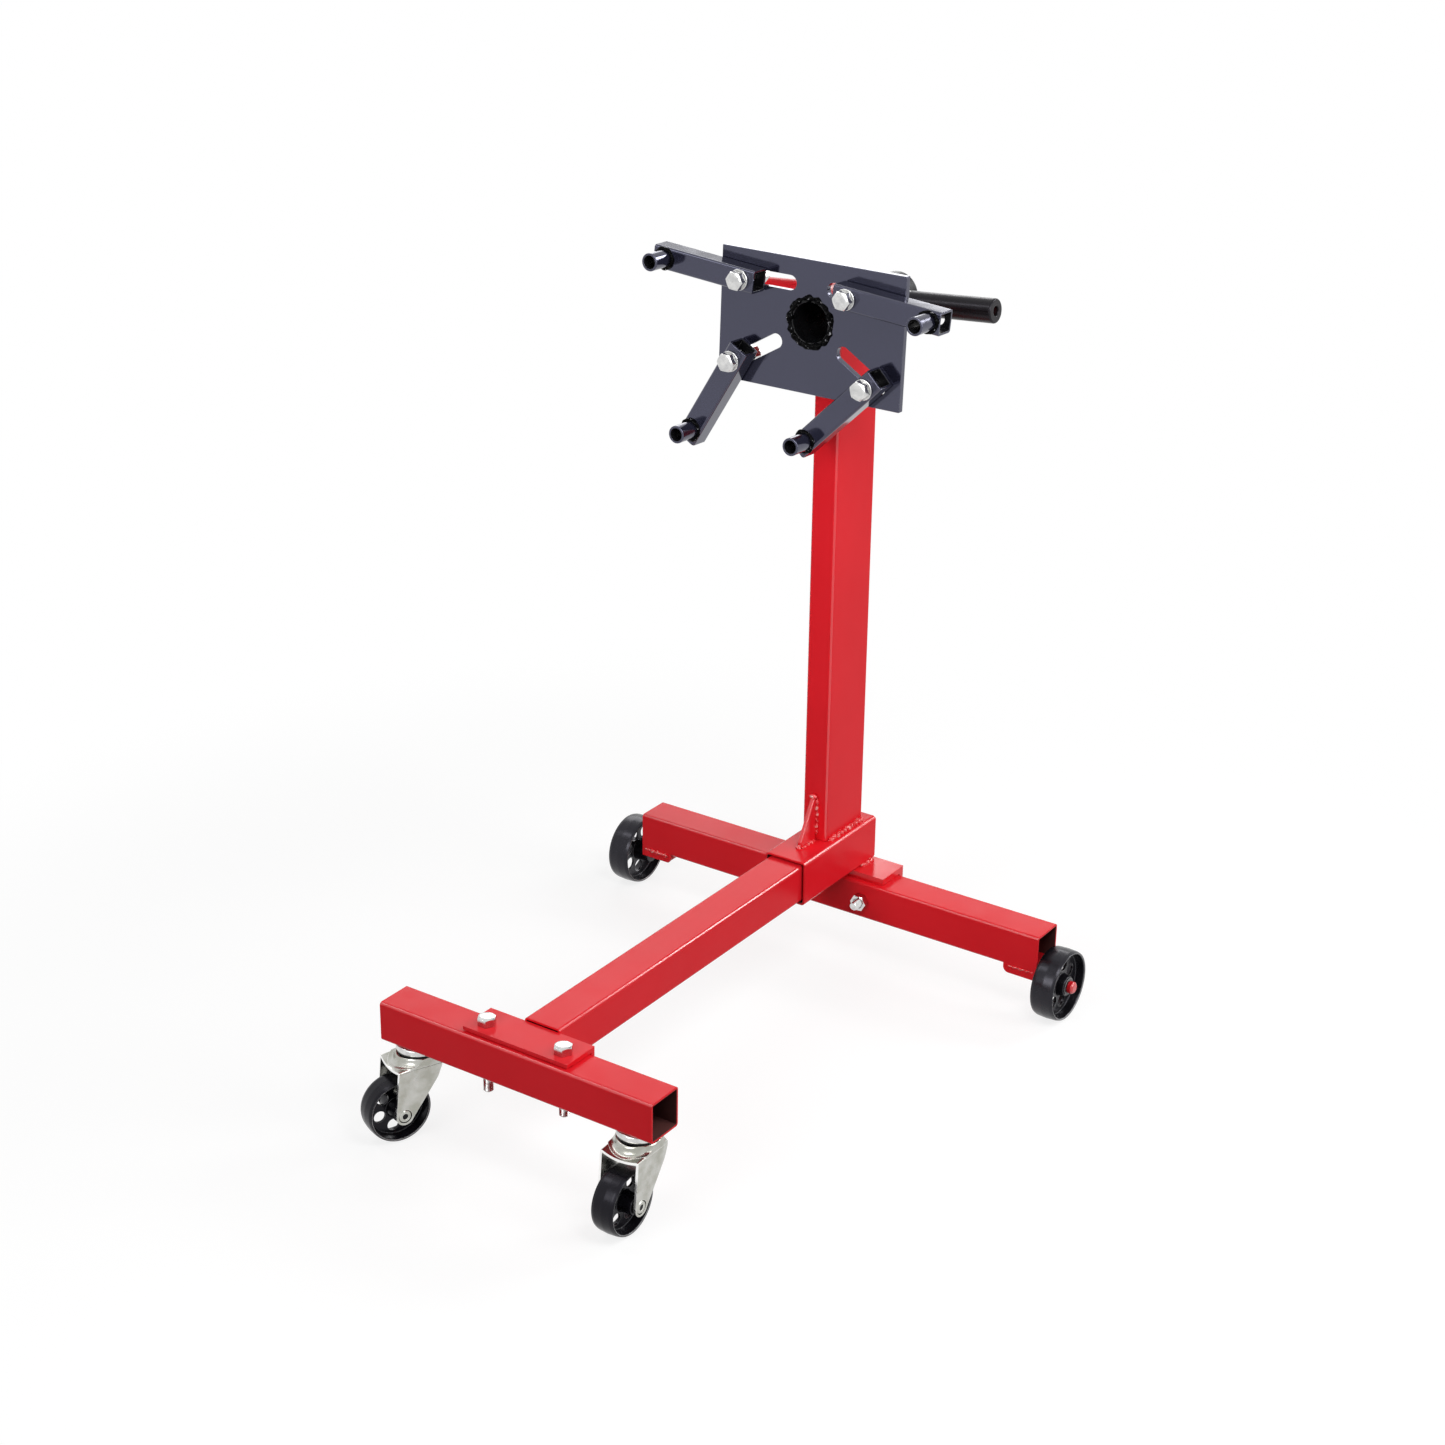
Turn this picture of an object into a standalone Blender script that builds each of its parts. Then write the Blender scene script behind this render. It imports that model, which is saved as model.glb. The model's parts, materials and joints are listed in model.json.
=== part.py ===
"""Engine stand on four wheels, built as separate named solids at real size.

Metres, +Z up. X runs along the cross beams, the engine side faces -Y, and the floor is z = 0.
"""
import math

import bmesh
import bpy
from mathutils import Matrix

# Overall sizes
BASE_REACH = 0.680          # centre of the rear beam to centre of the front beam
REAR_LENGTH = 0.618
FRONT_LENGTH = 0.390
HEAD_HEIGHT = 0.885         # floor to the turning axis, at the face of the plate

# Clearances
SEAT = 0.0003               # gap left between two pieces that touch
RUN_FIT = 0.0004            # radial play of a turning or sliding fit
BOLT_FIT = 0.0005           # radial play of a bolt in its hole

# Square tube of the base
TUBE = 0.051
TUBE_WALL = 0.003
TUBE_CORNER = 0.004

# Rear wheels and their axles
REAR_WHEEL_RADIUS = 0.047
REAR_WHEEL_WIDTH = 0.032
REAR_WHEEL_GAP_LEFT = 0.0115
REAR_WHEEL_GAP_RIGHT = 0.003
REAR_AXLE_RADIUS = 0.007
REAR_AXLE_LENGTH_INSIDE = 0.028
REAR_HEAD_RADIUS = 0.0092
REAR_HEAD_LENGTH = 0.0078
REAR_WHEEL_HOLES = 6
BRACKET_LENGTH = 0.048
BRACKET_HEIGHT = 0.011
BRACKET_CORNER = 0.008

# Shape shared by the cast wheels
RIM_THICKNESS = 0.0055
RIM_DRAFT = 0.002
WEB_THICKNESS = 0.008
HUB_WALL = 0.0062
SHOULDER = 0.004
WHEEL_HOLE_RADIUS = 0.0058

# Saddle angle, sleeve and centre beam
SADDLE_WIDTH = 0.147
SADDLE_THICKNESS = 0.009
SADDLE_FRONT_STEP = 0.009   # how far its top leg stops behind the beam's front face
SADDLE_LEG = 0.054
SLEEVE_SIDE = 0.061
SLEEVE_WALL = 0.0046
SLEEVE_CORNER = 0.005
SLEEVE_LENGTH = 0.173
SLEEVE_REAR = 0.0325        # sleeve end behind the centre of the rear beam
SADDLE_BOLT_SPACING = 0.094

# Front angle and its bolts
FRONT_ANGLE_WIDTH = 0.150
FRONT_ANGLE_THICKNESS = 0.006
FRONT_ANGLE_STEP = 0.006    # how far its top leg stops behind the beam's front face
FRONT_ANGLE_LEG = 0.046
FRONT_BOLT_SPACING = 0.110
FRONT_BOLT_TAIL = 0.031     # thread end below the beam

# Bolts of the base
BASE_BOLT_RADIUS = 0.006
BASE_BOLT_FLATS = 0.020
BASE_HEAD_HEIGHT = 0.0105
BASE_NUT_HEIGHT = 0.010
SADDLE_BOLT_TAIL = 0.017

# Post and gusset
POST_WIDTH = 0.036
POST_DEPTH = 0.090
POST_WALL = 0.003
POST_CORNER = 0.004
POST_FRONT = 0.073          # front face ahead of the centre of the rear beam
GUSSET_THICKNESS = 0.006
GUSSET_HEIGHT = 0.062
GUSSET_FOOT = 0.034
GUSSET_LIP = 0.008

# Casters
CASTER_INSET = 0.035        # swivel axis inboard of the beam's end
CASTER_WHEEL_RADIUS = 0.0405
CASTER_WHEEL_CLEAR = 0.0144  # top of the wheel to the underside of the fork's arch
CASTER_WHEEL_WIDTH = 0.030
CASTER_WHEEL_HOLES = 7
CASTER_TRAIL = 0.032
CASTER_TURN_LEFT = math.radians(-24.0)
CASTER_TURN_RIGHT = math.radians(0.0)
RACE_RADIUS = 0.0265
RACE_HEIGHT = 0.0096
RACE_GAP = 0.0006
CROWN_LIP = 0.002
CROWN_NECK_RADIUS = 0.0225
FORK_THICKNESS = 0.003
FORK_SIDE_GAP = 0.0055
FORK_BEND = 0.006
FORK_BOSS_RADIUS = 0.0115
FORK_TOP_DROP = 0.012       # fork arch below the top of the crown
FORK_FRONT = 0.037          # front lip of the arch ahead of the swivel axis
FORK_REAR = 0.0205
FORK_SKIRT = 0.036          # height of the upright rear edge
KING_RADIUS = 0.006
KING_HEAD_RADIUS = 0.010
KING_HEAD_HEIGHT = 0.004
RIVET_RADIUS = 0.005
RIVET_HEAD_RADIUS = 0.0068
RIVET_HEAD_HEIGHT = 0.003

# Head: housing, spindle, plate, handle and lock pin
PLATE_WIDTH = 0.257
PLATE_TOP = 0.075           # above the turning axis
PLATE_BOTTOM = 0.087        # below the turning axis
PLATE_THICKNESS = 0.008
PLATE_FRONT = 0.1144        # ahead of the centre of the rear beam
SPINDLE_RADIUS = 0.0285
SPINDLE_WALL = 0.004
SPINDLE_LENGTH = 0.203
HEAD_LEAN = math.radians(2.3)   # the axis rises towards the engine side
HOUSING_WALL = 0.0056
HOUSING_LENGTH = 0.116
HOUSING_BEHIND = 0.016      # front of the housing behind the face of the plate
HANDLE_BEHIND = 0.175
HANDLE_TILT = math.radians(4.5)
HANDLE_DROP = 0.0034         # rod below the turning axis
HANDLE_ROD_RADIUS = 0.0125
HANDLE_ROD_LEFT = 0.190
HANDLE_ROD_RIGHT = 0.146
GRIP_RADIUS = 0.0155
GRIP_START = 0.035
GRIP_END = 0.152
GRIP_HOLE_RADIUS = 0.006
LOCK_BEHIND = 0.075
LOCK_RADIUS = 0.005
LOCK_BOSS_RADIUS = 0.010
LOCK_BOSS_HEIGHT = 0.012
LOCK_TRAVEL = 0.012
LOCK_KNOB_RADIUS = 0.011
LOCK_KNOB_LENGTH = 0.012
LOCK_KNOB_CLEAR = 0.001

# Slots of the plate, measured from the turning axis
SLOT_CLEAR = 0.001          # radial play of an arm's bolt in its slot
UPPER_SLOT_X = 0.0305
UPPER_SLOT_Z = 0.0435
UPPER_SLOT_TRAVEL = 0.0715
LOWER_SLOT_X = 0.0475
LOWER_SLOT_Z = 0.030
LOWER_SLOT_ANGLE = math.radians(31.0)
LOWER_SLOT_TRAVEL = 0.0605

# Arms
ARM_SIDE = 0.028
ARM_WALL = 0.003
ARM_CORNER = 0.0036
ARM_LENGTH = 0.145
ARM_BOLT_INSET = 0.019
ARM_TUBE_INSET = 0.0155
ARM_TUBE_RADIUS = 0.011
ARM_TUBE_WALL = 0.003
ARM_TUBE_LENGTH = 0.030
ARM_BOLT_RADIUS = 0.008
ARM_BOLT_FLATS = 0.021
ARM_HEAD_HEIGHT = 0.010
ARM_NUT_HEIGHT = 0.013
ARM_BOLT_TAIL = 0.006
WASHER_RADIUS = 0.0128
WASHER_THICKNESS = 0.003

# Where each arm stands: slot, how far along it, and which way the arm points seen from the front
ARM_PLACES = {
    "upper_left": (-1, True, 0.0535, math.radians(175.5)),
    "upper_right": (1, True, 0.0345, math.radians(-4.3)),
    "lower_left": (-1, False, 0.0525, math.radians(-120.0)),
    "lower_right": (1, False, 0.0554, math.radians(-135.0)),
}

# Facets
ROUND_STEPS = 18
PIPE_STEPS = 32
WHEEL_STEPS = 32
HOLE_STEPS = 10
CORNER_STEPS = 3

# Heights and places worked out from the sizes above
FORK_UNDER = 2 * CASTER_WHEEL_RADIUS + CASTER_WHEEL_CLEAR
FORK_TOP = FORK_UNDER + FORK_THICKNESS
CROWN_TOP = FORK_TOP + FORK_TOP_DROP
CASTER_HEIGHT = CROWN_TOP + RACE_GAP + RACE_HEIGHT
SLOT_RADIUS = ARM_BOLT_RADIUS + SLOT_CLEAR
REAR_BOTTOM = REAR_WHEEL_RADIUS + REAR_AXLE_RADIUS + SEAT + BRACKET_HEIGHT + SEAT
REAR_TOP = REAR_BOTTOM + TUBE
SLEEVE_BOTTOM = REAR_TOP + SEAT + SADDLE_THICKNESS + SEAT
SLEEVE_TOP = SLEEVE_BOTTOM + SLEEVE_SIDE
CENTRE_Z = SLEEVE_BOTTOM + SLEEVE_SIDE / 2
CENTRE_SIDE = SLEEVE_SIDE - 2 * SLEEVE_WALL - 2 * RUN_FIT
FRONT_BOTTOM = CASTER_HEIGHT + SEAT
FRONT_TOP = FRONT_BOTTOM + TUBE
FRONT_REACH = BASE_REACH + CASTER_TRAIL + CASTER_WHEEL_RADIUS
REAR_REACH = SPINDLE_LENGTH * math.cos(HEAD_LEAN) - PLATE_FRONT
REAR_Y = (FRONT_REACH - REAR_REACH) / 2
FRONT_Y = REAR_Y - BASE_REACH
CASTER_X = FRONT_LENGTH / 2 - CASTER_INSET
HOUSING_BORE = SPINDLE_RADIUS + RUN_FIT
HOUSING_RADIUS = HOUSING_BORE + HOUSING_WALL
PLATE_FACE_Y = REAR_Y - PLATE_FRONT

# Turns that carry a flat outline or a turned shape onto a world axis
ALONG_X = (math.pi / 2, 0, math.pi / 2)
ALONG_Y = (math.pi / 2, 0, 0)
TURNED_X = (0, math.pi / 2, 0)

for old in list(bpy.data.objects):
    bpy.data.objects.remove(old, do_unlink=True)

parts = bpy.data.collections.new("engine_stand")
cutters = bpy.data.collections.new("cutters")
bpy.context.scene.collection.children.link(parts)
bpy.context.scene.collection.children.link(cutters)


def material(name, colour, roughness, metallic):
    made = bpy.data.materials.new(name)
    made.use_nodes = True
    shader = made.node_tree.nodes["Principled BSDF"]
    shader.inputs["Base Color"].default_value = (*colour, 1.0)
    shader.inputs["Roughness"].default_value = roughness
    shader.inputs["Metallic"].default_value = metallic
    made.diffuse_color = (*colour, 1.0)
    return made


FINISHES = {
    "red": ((0.44, 0.018, 0.025), 0.32, 0.0),
    "black": ((0.022, 0.022, 0.027), 0.28, 0.0),
    "zinc": ((0.66, 0.67, 0.66), 0.30, 1.0),
    "cast": ((0.018, 0.018, 0.02), 0.42, 0.0),
    "rubber": ((0.012, 0.012, 0.013), 0.55, 0.0),
}


def arc(centre_x, centre_y, radius, start, stop, steps):
    """Points along an arc, both ends included."""
    points = []
    for i in range(steps + 1):
        angle = start + (stop - start) * i / steps
        points.append((centre_x + radius * math.cos(angle), centre_y + radius * math.sin(angle)))
    return points


def rounded_rectangle(width, height, radius):
    points = []
    for quarter, (sx, sy) in enumerate(((1, 1), (-1, 1), (-1, -1), (1, -1))):
        centre_x = sx * (width / 2 - radius)
        centre_y = sy * (height / 2 - radius)
        start = quarter * math.pi / 2
        points += arc(centre_x, centre_y, radius, start, start + math.pi / 2, CORNER_STEPS)
    return points


def circle(radius, steps, centre_x=0.0, centre_y=0.0):
    return arc(centre_x, centre_y, radius, 0, 2 * math.pi * (steps - 1) / steps, steps - 1)


def stadium(start, end, radius, steps):
    """Slot outline between two centres."""
    angle = math.atan2(end[1] - start[1], end[0] - start[0])
    far = arc(*end, radius, angle - math.pi / 2, angle + math.pi / 2, steps)
    near = arc(*start, radius, angle + math.pi / 2, angle + 3 * math.pi / 2, steps)
    return far + near


def baked(holder):
    """Closed mesh of a helper object as the viewport shows it; the helper is removed."""
    bpy.context.scene.collection.objects.link(holder)
    bpy.context.view_layer.update()
    seen = holder.evaluated_get(bpy.context.evaluated_depsgraph_get())
    mesh = bpy.data.meshes.new_from_object(seen)
    mesh.name = holder.name
    bpy.data.objects.remove(holder)
    work = bmesh.new()
    work.from_mesh(mesh)
    bmesh.ops.remove_doubles(work, verts=work.verts, dist=1e-6)
    bmesh.ops.recalc_face_normals(work, faces=work.faces)
    work.to_mesh(mesh)
    work.free()
    return mesh


def extruded(name, loops, depth):
    """Solid from flat outlines, the first the outside and the rest holes, centred on its depth."""
    curve = bpy.data.curves.new(name, "CURVE")
    curve.dimensions = "2D"
    curve.fill_mode = "BOTH"
    curve.extrude = depth / 2
    for loop in loops:
        spline = curve.splines.new("POLY")
        spline.points.add(len(loop) - 1)
        for point, (x, y) in zip(spline.points, loop):
            point.co = (x, y, 0, 1)
        spline.use_cyclic_u = True
    return baked(bpy.data.objects.new(name, curve))


def turned(name, profile, steps, bored):
    """Solid turned about local Z from a profile of (radius, height) points.

    A bored piece joins its last point to its first; any other runs in to the axis at both ends.
    """
    if not bored:
        profile = [(0, profile[0][1]), *profile, (0, profile[-1][1])]
    work = bmesh.new()
    chain = [work.verts.new((radius, 0, height)) for radius, height in profile]
    for one, other in zip(chain, chain[1:]):
        work.edges.new((one, other))
    if bored:
        work.edges.new((chain[-1], chain[0]))
    mesh = bpy.data.meshes.new(name + "_profile")
    work.to_mesh(mesh)
    work.free()
    holder = bpy.data.objects.new(name, mesh)
    screw = holder.modifiers.new("turn", "SCREW")
    screw.steps = steps
    screw.render_steps = steps
    screw.use_merge_vertices = True
    screw.merge_threshold = 1e-6
    return baked(holder)


def lofted(name, rings, bored):
    """Solid through (radius, height, sides) rings about local Z, for hexagons that meet round ends.

    A ring with no sides is round. A bored piece closes from its last ring to its first.
    """
    work = bmesh.new()
    loops = []
    for radius, height, sides in rings:
        loop = []
        for i in range(ROUND_STEPS):
            angle = 2 * math.pi * i / ROUND_STEPS
            reach = radius
            if sides:
                half = math.pi / sides
                reach = radius * math.cos(half) / math.cos(angle % (2 * half) - half)
            loop.append(work.verts.new((reach * math.cos(angle), reach * math.sin(angle), height)))
        loops.append(loop)
    pairs = list(zip(loops, loops[1:]))
    if bored:
        pairs.append((loops[-1], loops[0]))
    else:
        work.faces.new(loops[0])
        work.faces.new(loops[-1])
    for low, high in pairs:
        for i in range(ROUND_STEPS):
            j = (i + 1) % ROUND_STEPS
            work.faces.new((low[i], low[j], high[j], high[i]))
    bmesh.ops.recalc_face_normals(work, faces=work.faces)
    mesh = bpy.data.meshes.new(name)
    work.to_mesh(mesh)
    work.free()
    return mesh


def cylinders(name, radius, length, steps, centres):
    """Plain cylinders along local Z, for cutting round holes."""
    work = bmesh.new()
    for x, y in centres:
        bmesh.ops.create_cone(
            work,
            cap_ends=True,
            segments=steps,
            radius1=radius,
            radius2=radius,
            depth=length,
            matrix=Matrix.Translation((x, y, 0)),
        )
    mesh = bpy.data.meshes.new(name)
    work.to_mesh(mesh)
    work.free()
    return mesh


def put(name, mesh, finish, location=(0, 0, 0), rotation=(0, 0, 0), parent=None):
    """One piece of the stand, with its own material."""
    piece = bpy.data.objects.new(name, mesh)
    parts.objects.link(piece)
    piece.location = location
    piece.rotation_euler = rotation
    piece.parent = parent
    piece.data.materials.clear()
    piece.data.materials.append(material(name, *FINISHES[finish]))
    return piece


def axis(name, location, rotation=(0, 0, 0), parent=None):
    """Empty that stands on a joint axis."""
    empty = bpy.data.objects.new(name, None)
    empty.empty_display_size = 0.03
    parts.objects.link(empty)
    empty.location = location
    empty.rotation_euler = rotation
    empty.parent = parent
    return empty


def combine(piece, tool_mesh, operation, location=(0, 0, 0), rotation=(0, 0, 0), parent=None):
    """Boolean with a hidden tool solid."""
    tool = bpy.data.objects.new(tool_mesh.name, tool_mesh)
    cutters.objects.link(tool)
    tool.location = location
    tool.rotation_euler = rotation
    tool.parent = parent
    tool.hide_render = True
    tool.display_type = "WIRE"
    step = piece.modifiers.new(tool.name, "BOOLEAN")
    step.operation = operation
    step.solver = "EXACT"
    step.object = tool


def drill(piece, radius, length, location, rotation=(0, 0, 0), parent=None, steps=ROUND_STEPS):
    tool = cylinders(piece.name + "_hole", radius, length, steps, [(0, 0)])
    combine(piece, tool, "DIFFERENCE", location, rotation, parent)


def square_tube(name, width, height, wall, corner, length):
    outside = rounded_rectangle(width, height, corner)
    inside_corner = max(corner - wall, corner / 4)
    inside = rounded_rectangle(width - 2 * wall, height - 2 * wall, inside_corner)
    return extruded(name, [outside, inside], length)


def hex_bolt(name, radius, flats, head, length):
    """Bolt with its head above z = 0 and its shank below."""
    corner = flats / math.sqrt(3)
    chamfer = head * 0.22
    tip = radius * 0.18
    rings = [
        (radius - tip, -length, None),
        (radius, -length + tip, None),
        (radius, 0, None),
        (corner, 0, 6),
        (corner, head - chamfer, 6),
        (flats / 2 * 0.93, head, None),
    ]
    return lofted(name, rings, False)


def hex_nut(name, radius, flats, height):
    """Nut standing on z = 0."""
    corner = flats / math.sqrt(3)
    chamfer = height * 0.16
    bore = radius + SEAT
    rings = [
        (bore, 0, None),
        (flats / 2 * 0.95, 0, None),
        (corner, chamfer, 6),
        (corner, height - chamfer, 6),
        (flats / 2 * 0.95, height, None),
        (bore, height, None),
    ]
    return lofted(name, rings, True)


def cast_wheel(name, radius, width, bore, hub_inner, hub_outer, holes):
    """Spoked wheel about local Z, with its hub ends at -hub_inner and +hub_outer."""
    half = width / 2
    rim = radius - RIM_THICKNESS
    root = rim - RIM_DRAFT
    web = WEB_THICKNESS / 2
    hub = bore + HUB_WALL
    rings = [
        (bore, -hub_inner),
        (bore, hub_outer),
        (hub, hub_outer),
        (hub + RIM_DRAFT, web),
        (root, web),
        (rim, half),
        (radius - SHOULDER / 2, half),
        (radius, half - SHOULDER),
        (radius, SHOULDER - half),
        (radius - SHOULDER / 2, -half),
        (rim, -half),
        (root, -web),
        (hub + RIM_DRAFT, -web),
        (hub, -hub_inner),
    ]
    mesh = turned(name, rings, WHEEL_STEPS, True)
    pitch = (hub + RIM_DRAFT + root) / 2
    centres = circle(pitch, holes)
    tools = cylinders(name + "_holes", WHEEL_HOLE_RADIUS, width, HOLE_STEPS, centres)
    return mesh, tools


# Rear beam, its axles and wheels
REAR_MID = REAR_BOTTOM + TUBE / 2
rear_tube = square_tube("rear_beam", TUBE, TUBE, TUBE_WALL, TUBE_CORNER, REAR_LENGTH)
rear_beam = put("rear_beam", rear_tube, "red", (0, REAR_Y, REAR_MID), ALONG_X)

rear_sides = (("left", -1, REAR_WHEEL_GAP_LEFT), ("right", 1, REAR_WHEEL_GAP_RIGHT))
for side, sign, wheel_gap in rear_sides:
    end_x = REAR_LENGTH / 2
    block = [
        (-BRACKET_LENGTH / 2, BRACKET_HEIGHT / 2),
        (-BRACKET_LENGTH / 2, BRACKET_CORNER - BRACKET_HEIGHT / 2),
    ]
    block += arc(
        BRACKET_CORNER - BRACKET_LENGTH / 2,
        BRACKET_CORNER - BRACKET_HEIGHT / 2,
        BRACKET_CORNER,
        math.pi,
        3 * math.pi / 2,
        CORNER_STEPS,
    )[1:]
    block += [
        (BRACKET_LENGTH / 2, -BRACKET_HEIGHT / 2),
        (BRACKET_LENGTH / 2, BRACKET_HEIGHT / 2),
    ]
    bracket_name = "axle_bracket_" + side
    bracket_x = sign * (end_x - BRACKET_LENGTH / 2)
    bracket_z = REAR_BOTTOM - SEAT - BRACKET_HEIGHT / 2
    facing = [(sign * x, y) for x, y in block]
    put(
        bracket_name,
        extruded(bracket_name, [facing], TUBE),
        "red",
        (bracket_x, REAR_Y, bracket_z),
        ALONG_Y,
    )

    wheel_mid = end_x + wheel_gap + REAR_WHEEL_WIDTH / 2
    hub_inner = wheel_mid - end_x - 2 * SEAT
    hub_outer = REAR_WHEEL_WIDTH / 2
    head_start = wheel_mid + hub_outer + SEAT
    axle_start = end_x - REAR_AXLE_LENGTH_INSIDE
    axle_rings = [
        (REAR_AXLE_RADIUS, axle_start),
        (REAR_AXLE_RADIUS, head_start),
        (REAR_HEAD_RADIUS, head_start),
        (REAR_HEAD_RADIUS, head_start + REAR_HEAD_LENGTH * 0.7),
        (REAR_HEAD_RADIUS * 0.78, head_start + REAR_HEAD_LENGTH),
    ]
    axle_name = "rear_axle_" + side
    face = (0, sign * math.pi / 2, 0)
    put(
        axle_name,
        turned(axle_name, axle_rings, ROUND_STEPS, False),
        "red",
        (0, REAR_Y, REAR_WHEEL_RADIUS),
        face,
    )
    wheel_name = "rear_wheel_" + side
    wheel_mesh, wheel_holes = cast_wheel(
        wheel_name,
        REAR_WHEEL_RADIUS,
        REAR_WHEEL_WIDTH,
        REAR_AXLE_RADIUS + RUN_FIT,
        hub_inner,
        hub_outer,
        REAR_WHEEL_HOLES,
    )
    wheel_place = (sign * wheel_mid, REAR_Y, REAR_WHEEL_RADIUS)
    wheel = put(wheel_name, wheel_mesh, "cast", wheel_place, face)
    combine(wheel, wheel_holes, "DIFFERENCE", wheel_place, face)

# Saddle angle over the rear beam, held by two bolts through the beam
saddle_front = -TUBE / 2 + SADDLE_FRONT_STEP
saddle_inner = TUBE / 2 + SEAT
saddle_outer = saddle_inner + SADDLE_THICKNESS
saddle_under = REAR_TOP + SEAT
saddle_over = saddle_under + SADDLE_THICKNESS
saddle_foot = saddle_over - SADDLE_LEG
saddle_outline = [
    (saddle_front, saddle_under),
    (saddle_inner, saddle_under),
    (saddle_inner, saddle_foot),
    (saddle_outer, saddle_foot),
    (saddle_outer, saddle_over),
    (saddle_front, saddle_over),
]
saddle_mesh = extruded("saddle_angle", [saddle_outline], SADDLE_WIDTH)
saddle = put("saddle_angle", saddle_mesh, "red", (0, REAR_Y, 0), ALONG_X)

for side, sign in (("left", -1), ("right", 1)):
    bolt_x = sign * SADDLE_BOLT_SPACING / 2
    hole_length = 4 * TUBE
    hole_place = (bolt_x, REAR_Y, REAR_MID)
    drill(rear_beam, BASE_BOLT_RADIUS + BOLT_FIT, hole_length, hole_place, ALONG_Y)
    drill(saddle, BASE_BOLT_RADIUS + BOLT_FIT, hole_length, hole_place, ALONG_Y)
    seat_y = REAR_Y + saddle_outer + SEAT
    nut_y = REAR_Y - TUBE / 2 - SEAT
    shank = seat_y - nut_y + SADDLE_BOLT_TAIL
    bolt_name = "saddle_bolt_" + side
    bolt_mesh = hex_bolt(bolt_name, BASE_BOLT_RADIUS, BASE_BOLT_FLATS, BASE_HEAD_HEIGHT, shank)
    put(bolt_name, bolt_mesh, "zinc", (bolt_x, seat_y, REAR_MID), (-math.pi / 2, 0, 0))
    nut_name = "saddle_nut_" + side
    nut_mesh = hex_nut(nut_name, BASE_BOLT_RADIUS, BASE_BOLT_FLATS, BASE_NUT_HEIGHT)
    put(nut_name, nut_mesh, "zinc", (bolt_x, nut_y, REAR_MID), ALONG_Y)

# Base sleeve on the saddle and the centre beam in it
sleeve_mid_y = REAR_Y + SLEEVE_REAR - SLEEVE_LENGTH / 2
sleeve_mesh = square_tube(
    "base_sleeve", SLEEVE_SIDE, SLEEVE_SIDE, SLEEVE_WALL, SLEEVE_CORNER, SLEEVE_LENGTH
)
put("base_sleeve", sleeve_mesh, "red", (0, sleeve_mid_y, CENTRE_Z), ALONG_Y)

angle_rear = FRONT_Y + TUBE / 2 + SEAT + FRONT_ANGLE_THICKNESS
beam_front = angle_rear + SEAT
beam_rear = REAR_Y + SLEEVE_REAR
beam_length = beam_rear - beam_front
centre_mesh = square_tube(
    "centre_beam", CENTRE_SIDE, CENTRE_SIDE, TUBE_WALL, TUBE_CORNER, beam_length
)
put("centre_beam", centre_mesh, "red", (0, (beam_rear + beam_front) / 2, CENTRE_Z), ALONG_Y)

# Front beam, with the angle that holds the centre beam to it
FRONT_MID = FRONT_BOTTOM + TUBE / 2
front_tube = square_tube("front_beam", TUBE, TUBE, TUBE_WALL, TUBE_CORNER, FRONT_LENGTH)
front_beam = put("front_beam", front_tube, "red", (0, FRONT_Y, FRONT_MID), ALONG_X)

angle_under = FRONT_TOP + SEAT
angle_over = angle_under + FRONT_ANGLE_THICKNESS
angle_front = FRONT_Y - TUBE / 2 + FRONT_ANGLE_STEP
angle_inner = FRONT_Y + TUBE / 2 + SEAT
angle_outline = [
    (angle_front, angle_under),
    (angle_inner, angle_under),
    (angle_inner, angle_over - FRONT_ANGLE_LEG),
    (angle_rear, angle_over - FRONT_ANGLE_LEG),
    (angle_rear, angle_over),
    (angle_front, angle_over),
]
angle_mesh = extruded("front_angle", [angle_outline], FRONT_ANGLE_WIDTH)
front_angle = put("front_angle", angle_mesh, "red", (0, 0, 0), ALONG_X)

for side, sign in (("left", -1), ("right", 1)):
    bolt_x = sign * FRONT_BOLT_SPACING / 2
    hole_place = (bolt_x, FRONT_Y, FRONT_MID)
    drill(front_beam, BASE_BOLT_RADIUS + BOLT_FIT, 4 * TUBE, hole_place)
    drill(front_angle, BASE_BOLT_RADIUS + BOLT_FIT, 4 * TUBE, hole_place)
    seat_z = angle_over + SEAT
    nut_z = FRONT_BOTTOM - SEAT - BASE_NUT_HEIGHT
    shank = seat_z - FRONT_BOTTOM + FRONT_BOLT_TAIL
    bolt_name = "front_bolt_" + side
    bolt_mesh = hex_bolt(bolt_name, BASE_BOLT_RADIUS, BASE_BOLT_FLATS, BASE_HEAD_HEIGHT, shank)
    put(bolt_name, bolt_mesh, "zinc", (bolt_x, FRONT_Y, seat_z))
    nut_name = "front_nut_" + side
    nut_mesh = hex_nut(nut_name, BASE_BOLT_RADIUS, BASE_BOLT_FLATS, BASE_NUT_HEIGHT)
    put(nut_name, nut_mesh, "zinc", (bolt_x, FRONT_Y, nut_z))

# Swivel casters under the front beam
FORK_HALF = CASTER_WHEEL_WIDTH / 2 + FORK_SIDE_GAP + FORK_THICKNESS
FORK_LOW = CASTER_WHEEL_RADIUS - 1.5 * FORK_BOSS_RADIUS

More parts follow.
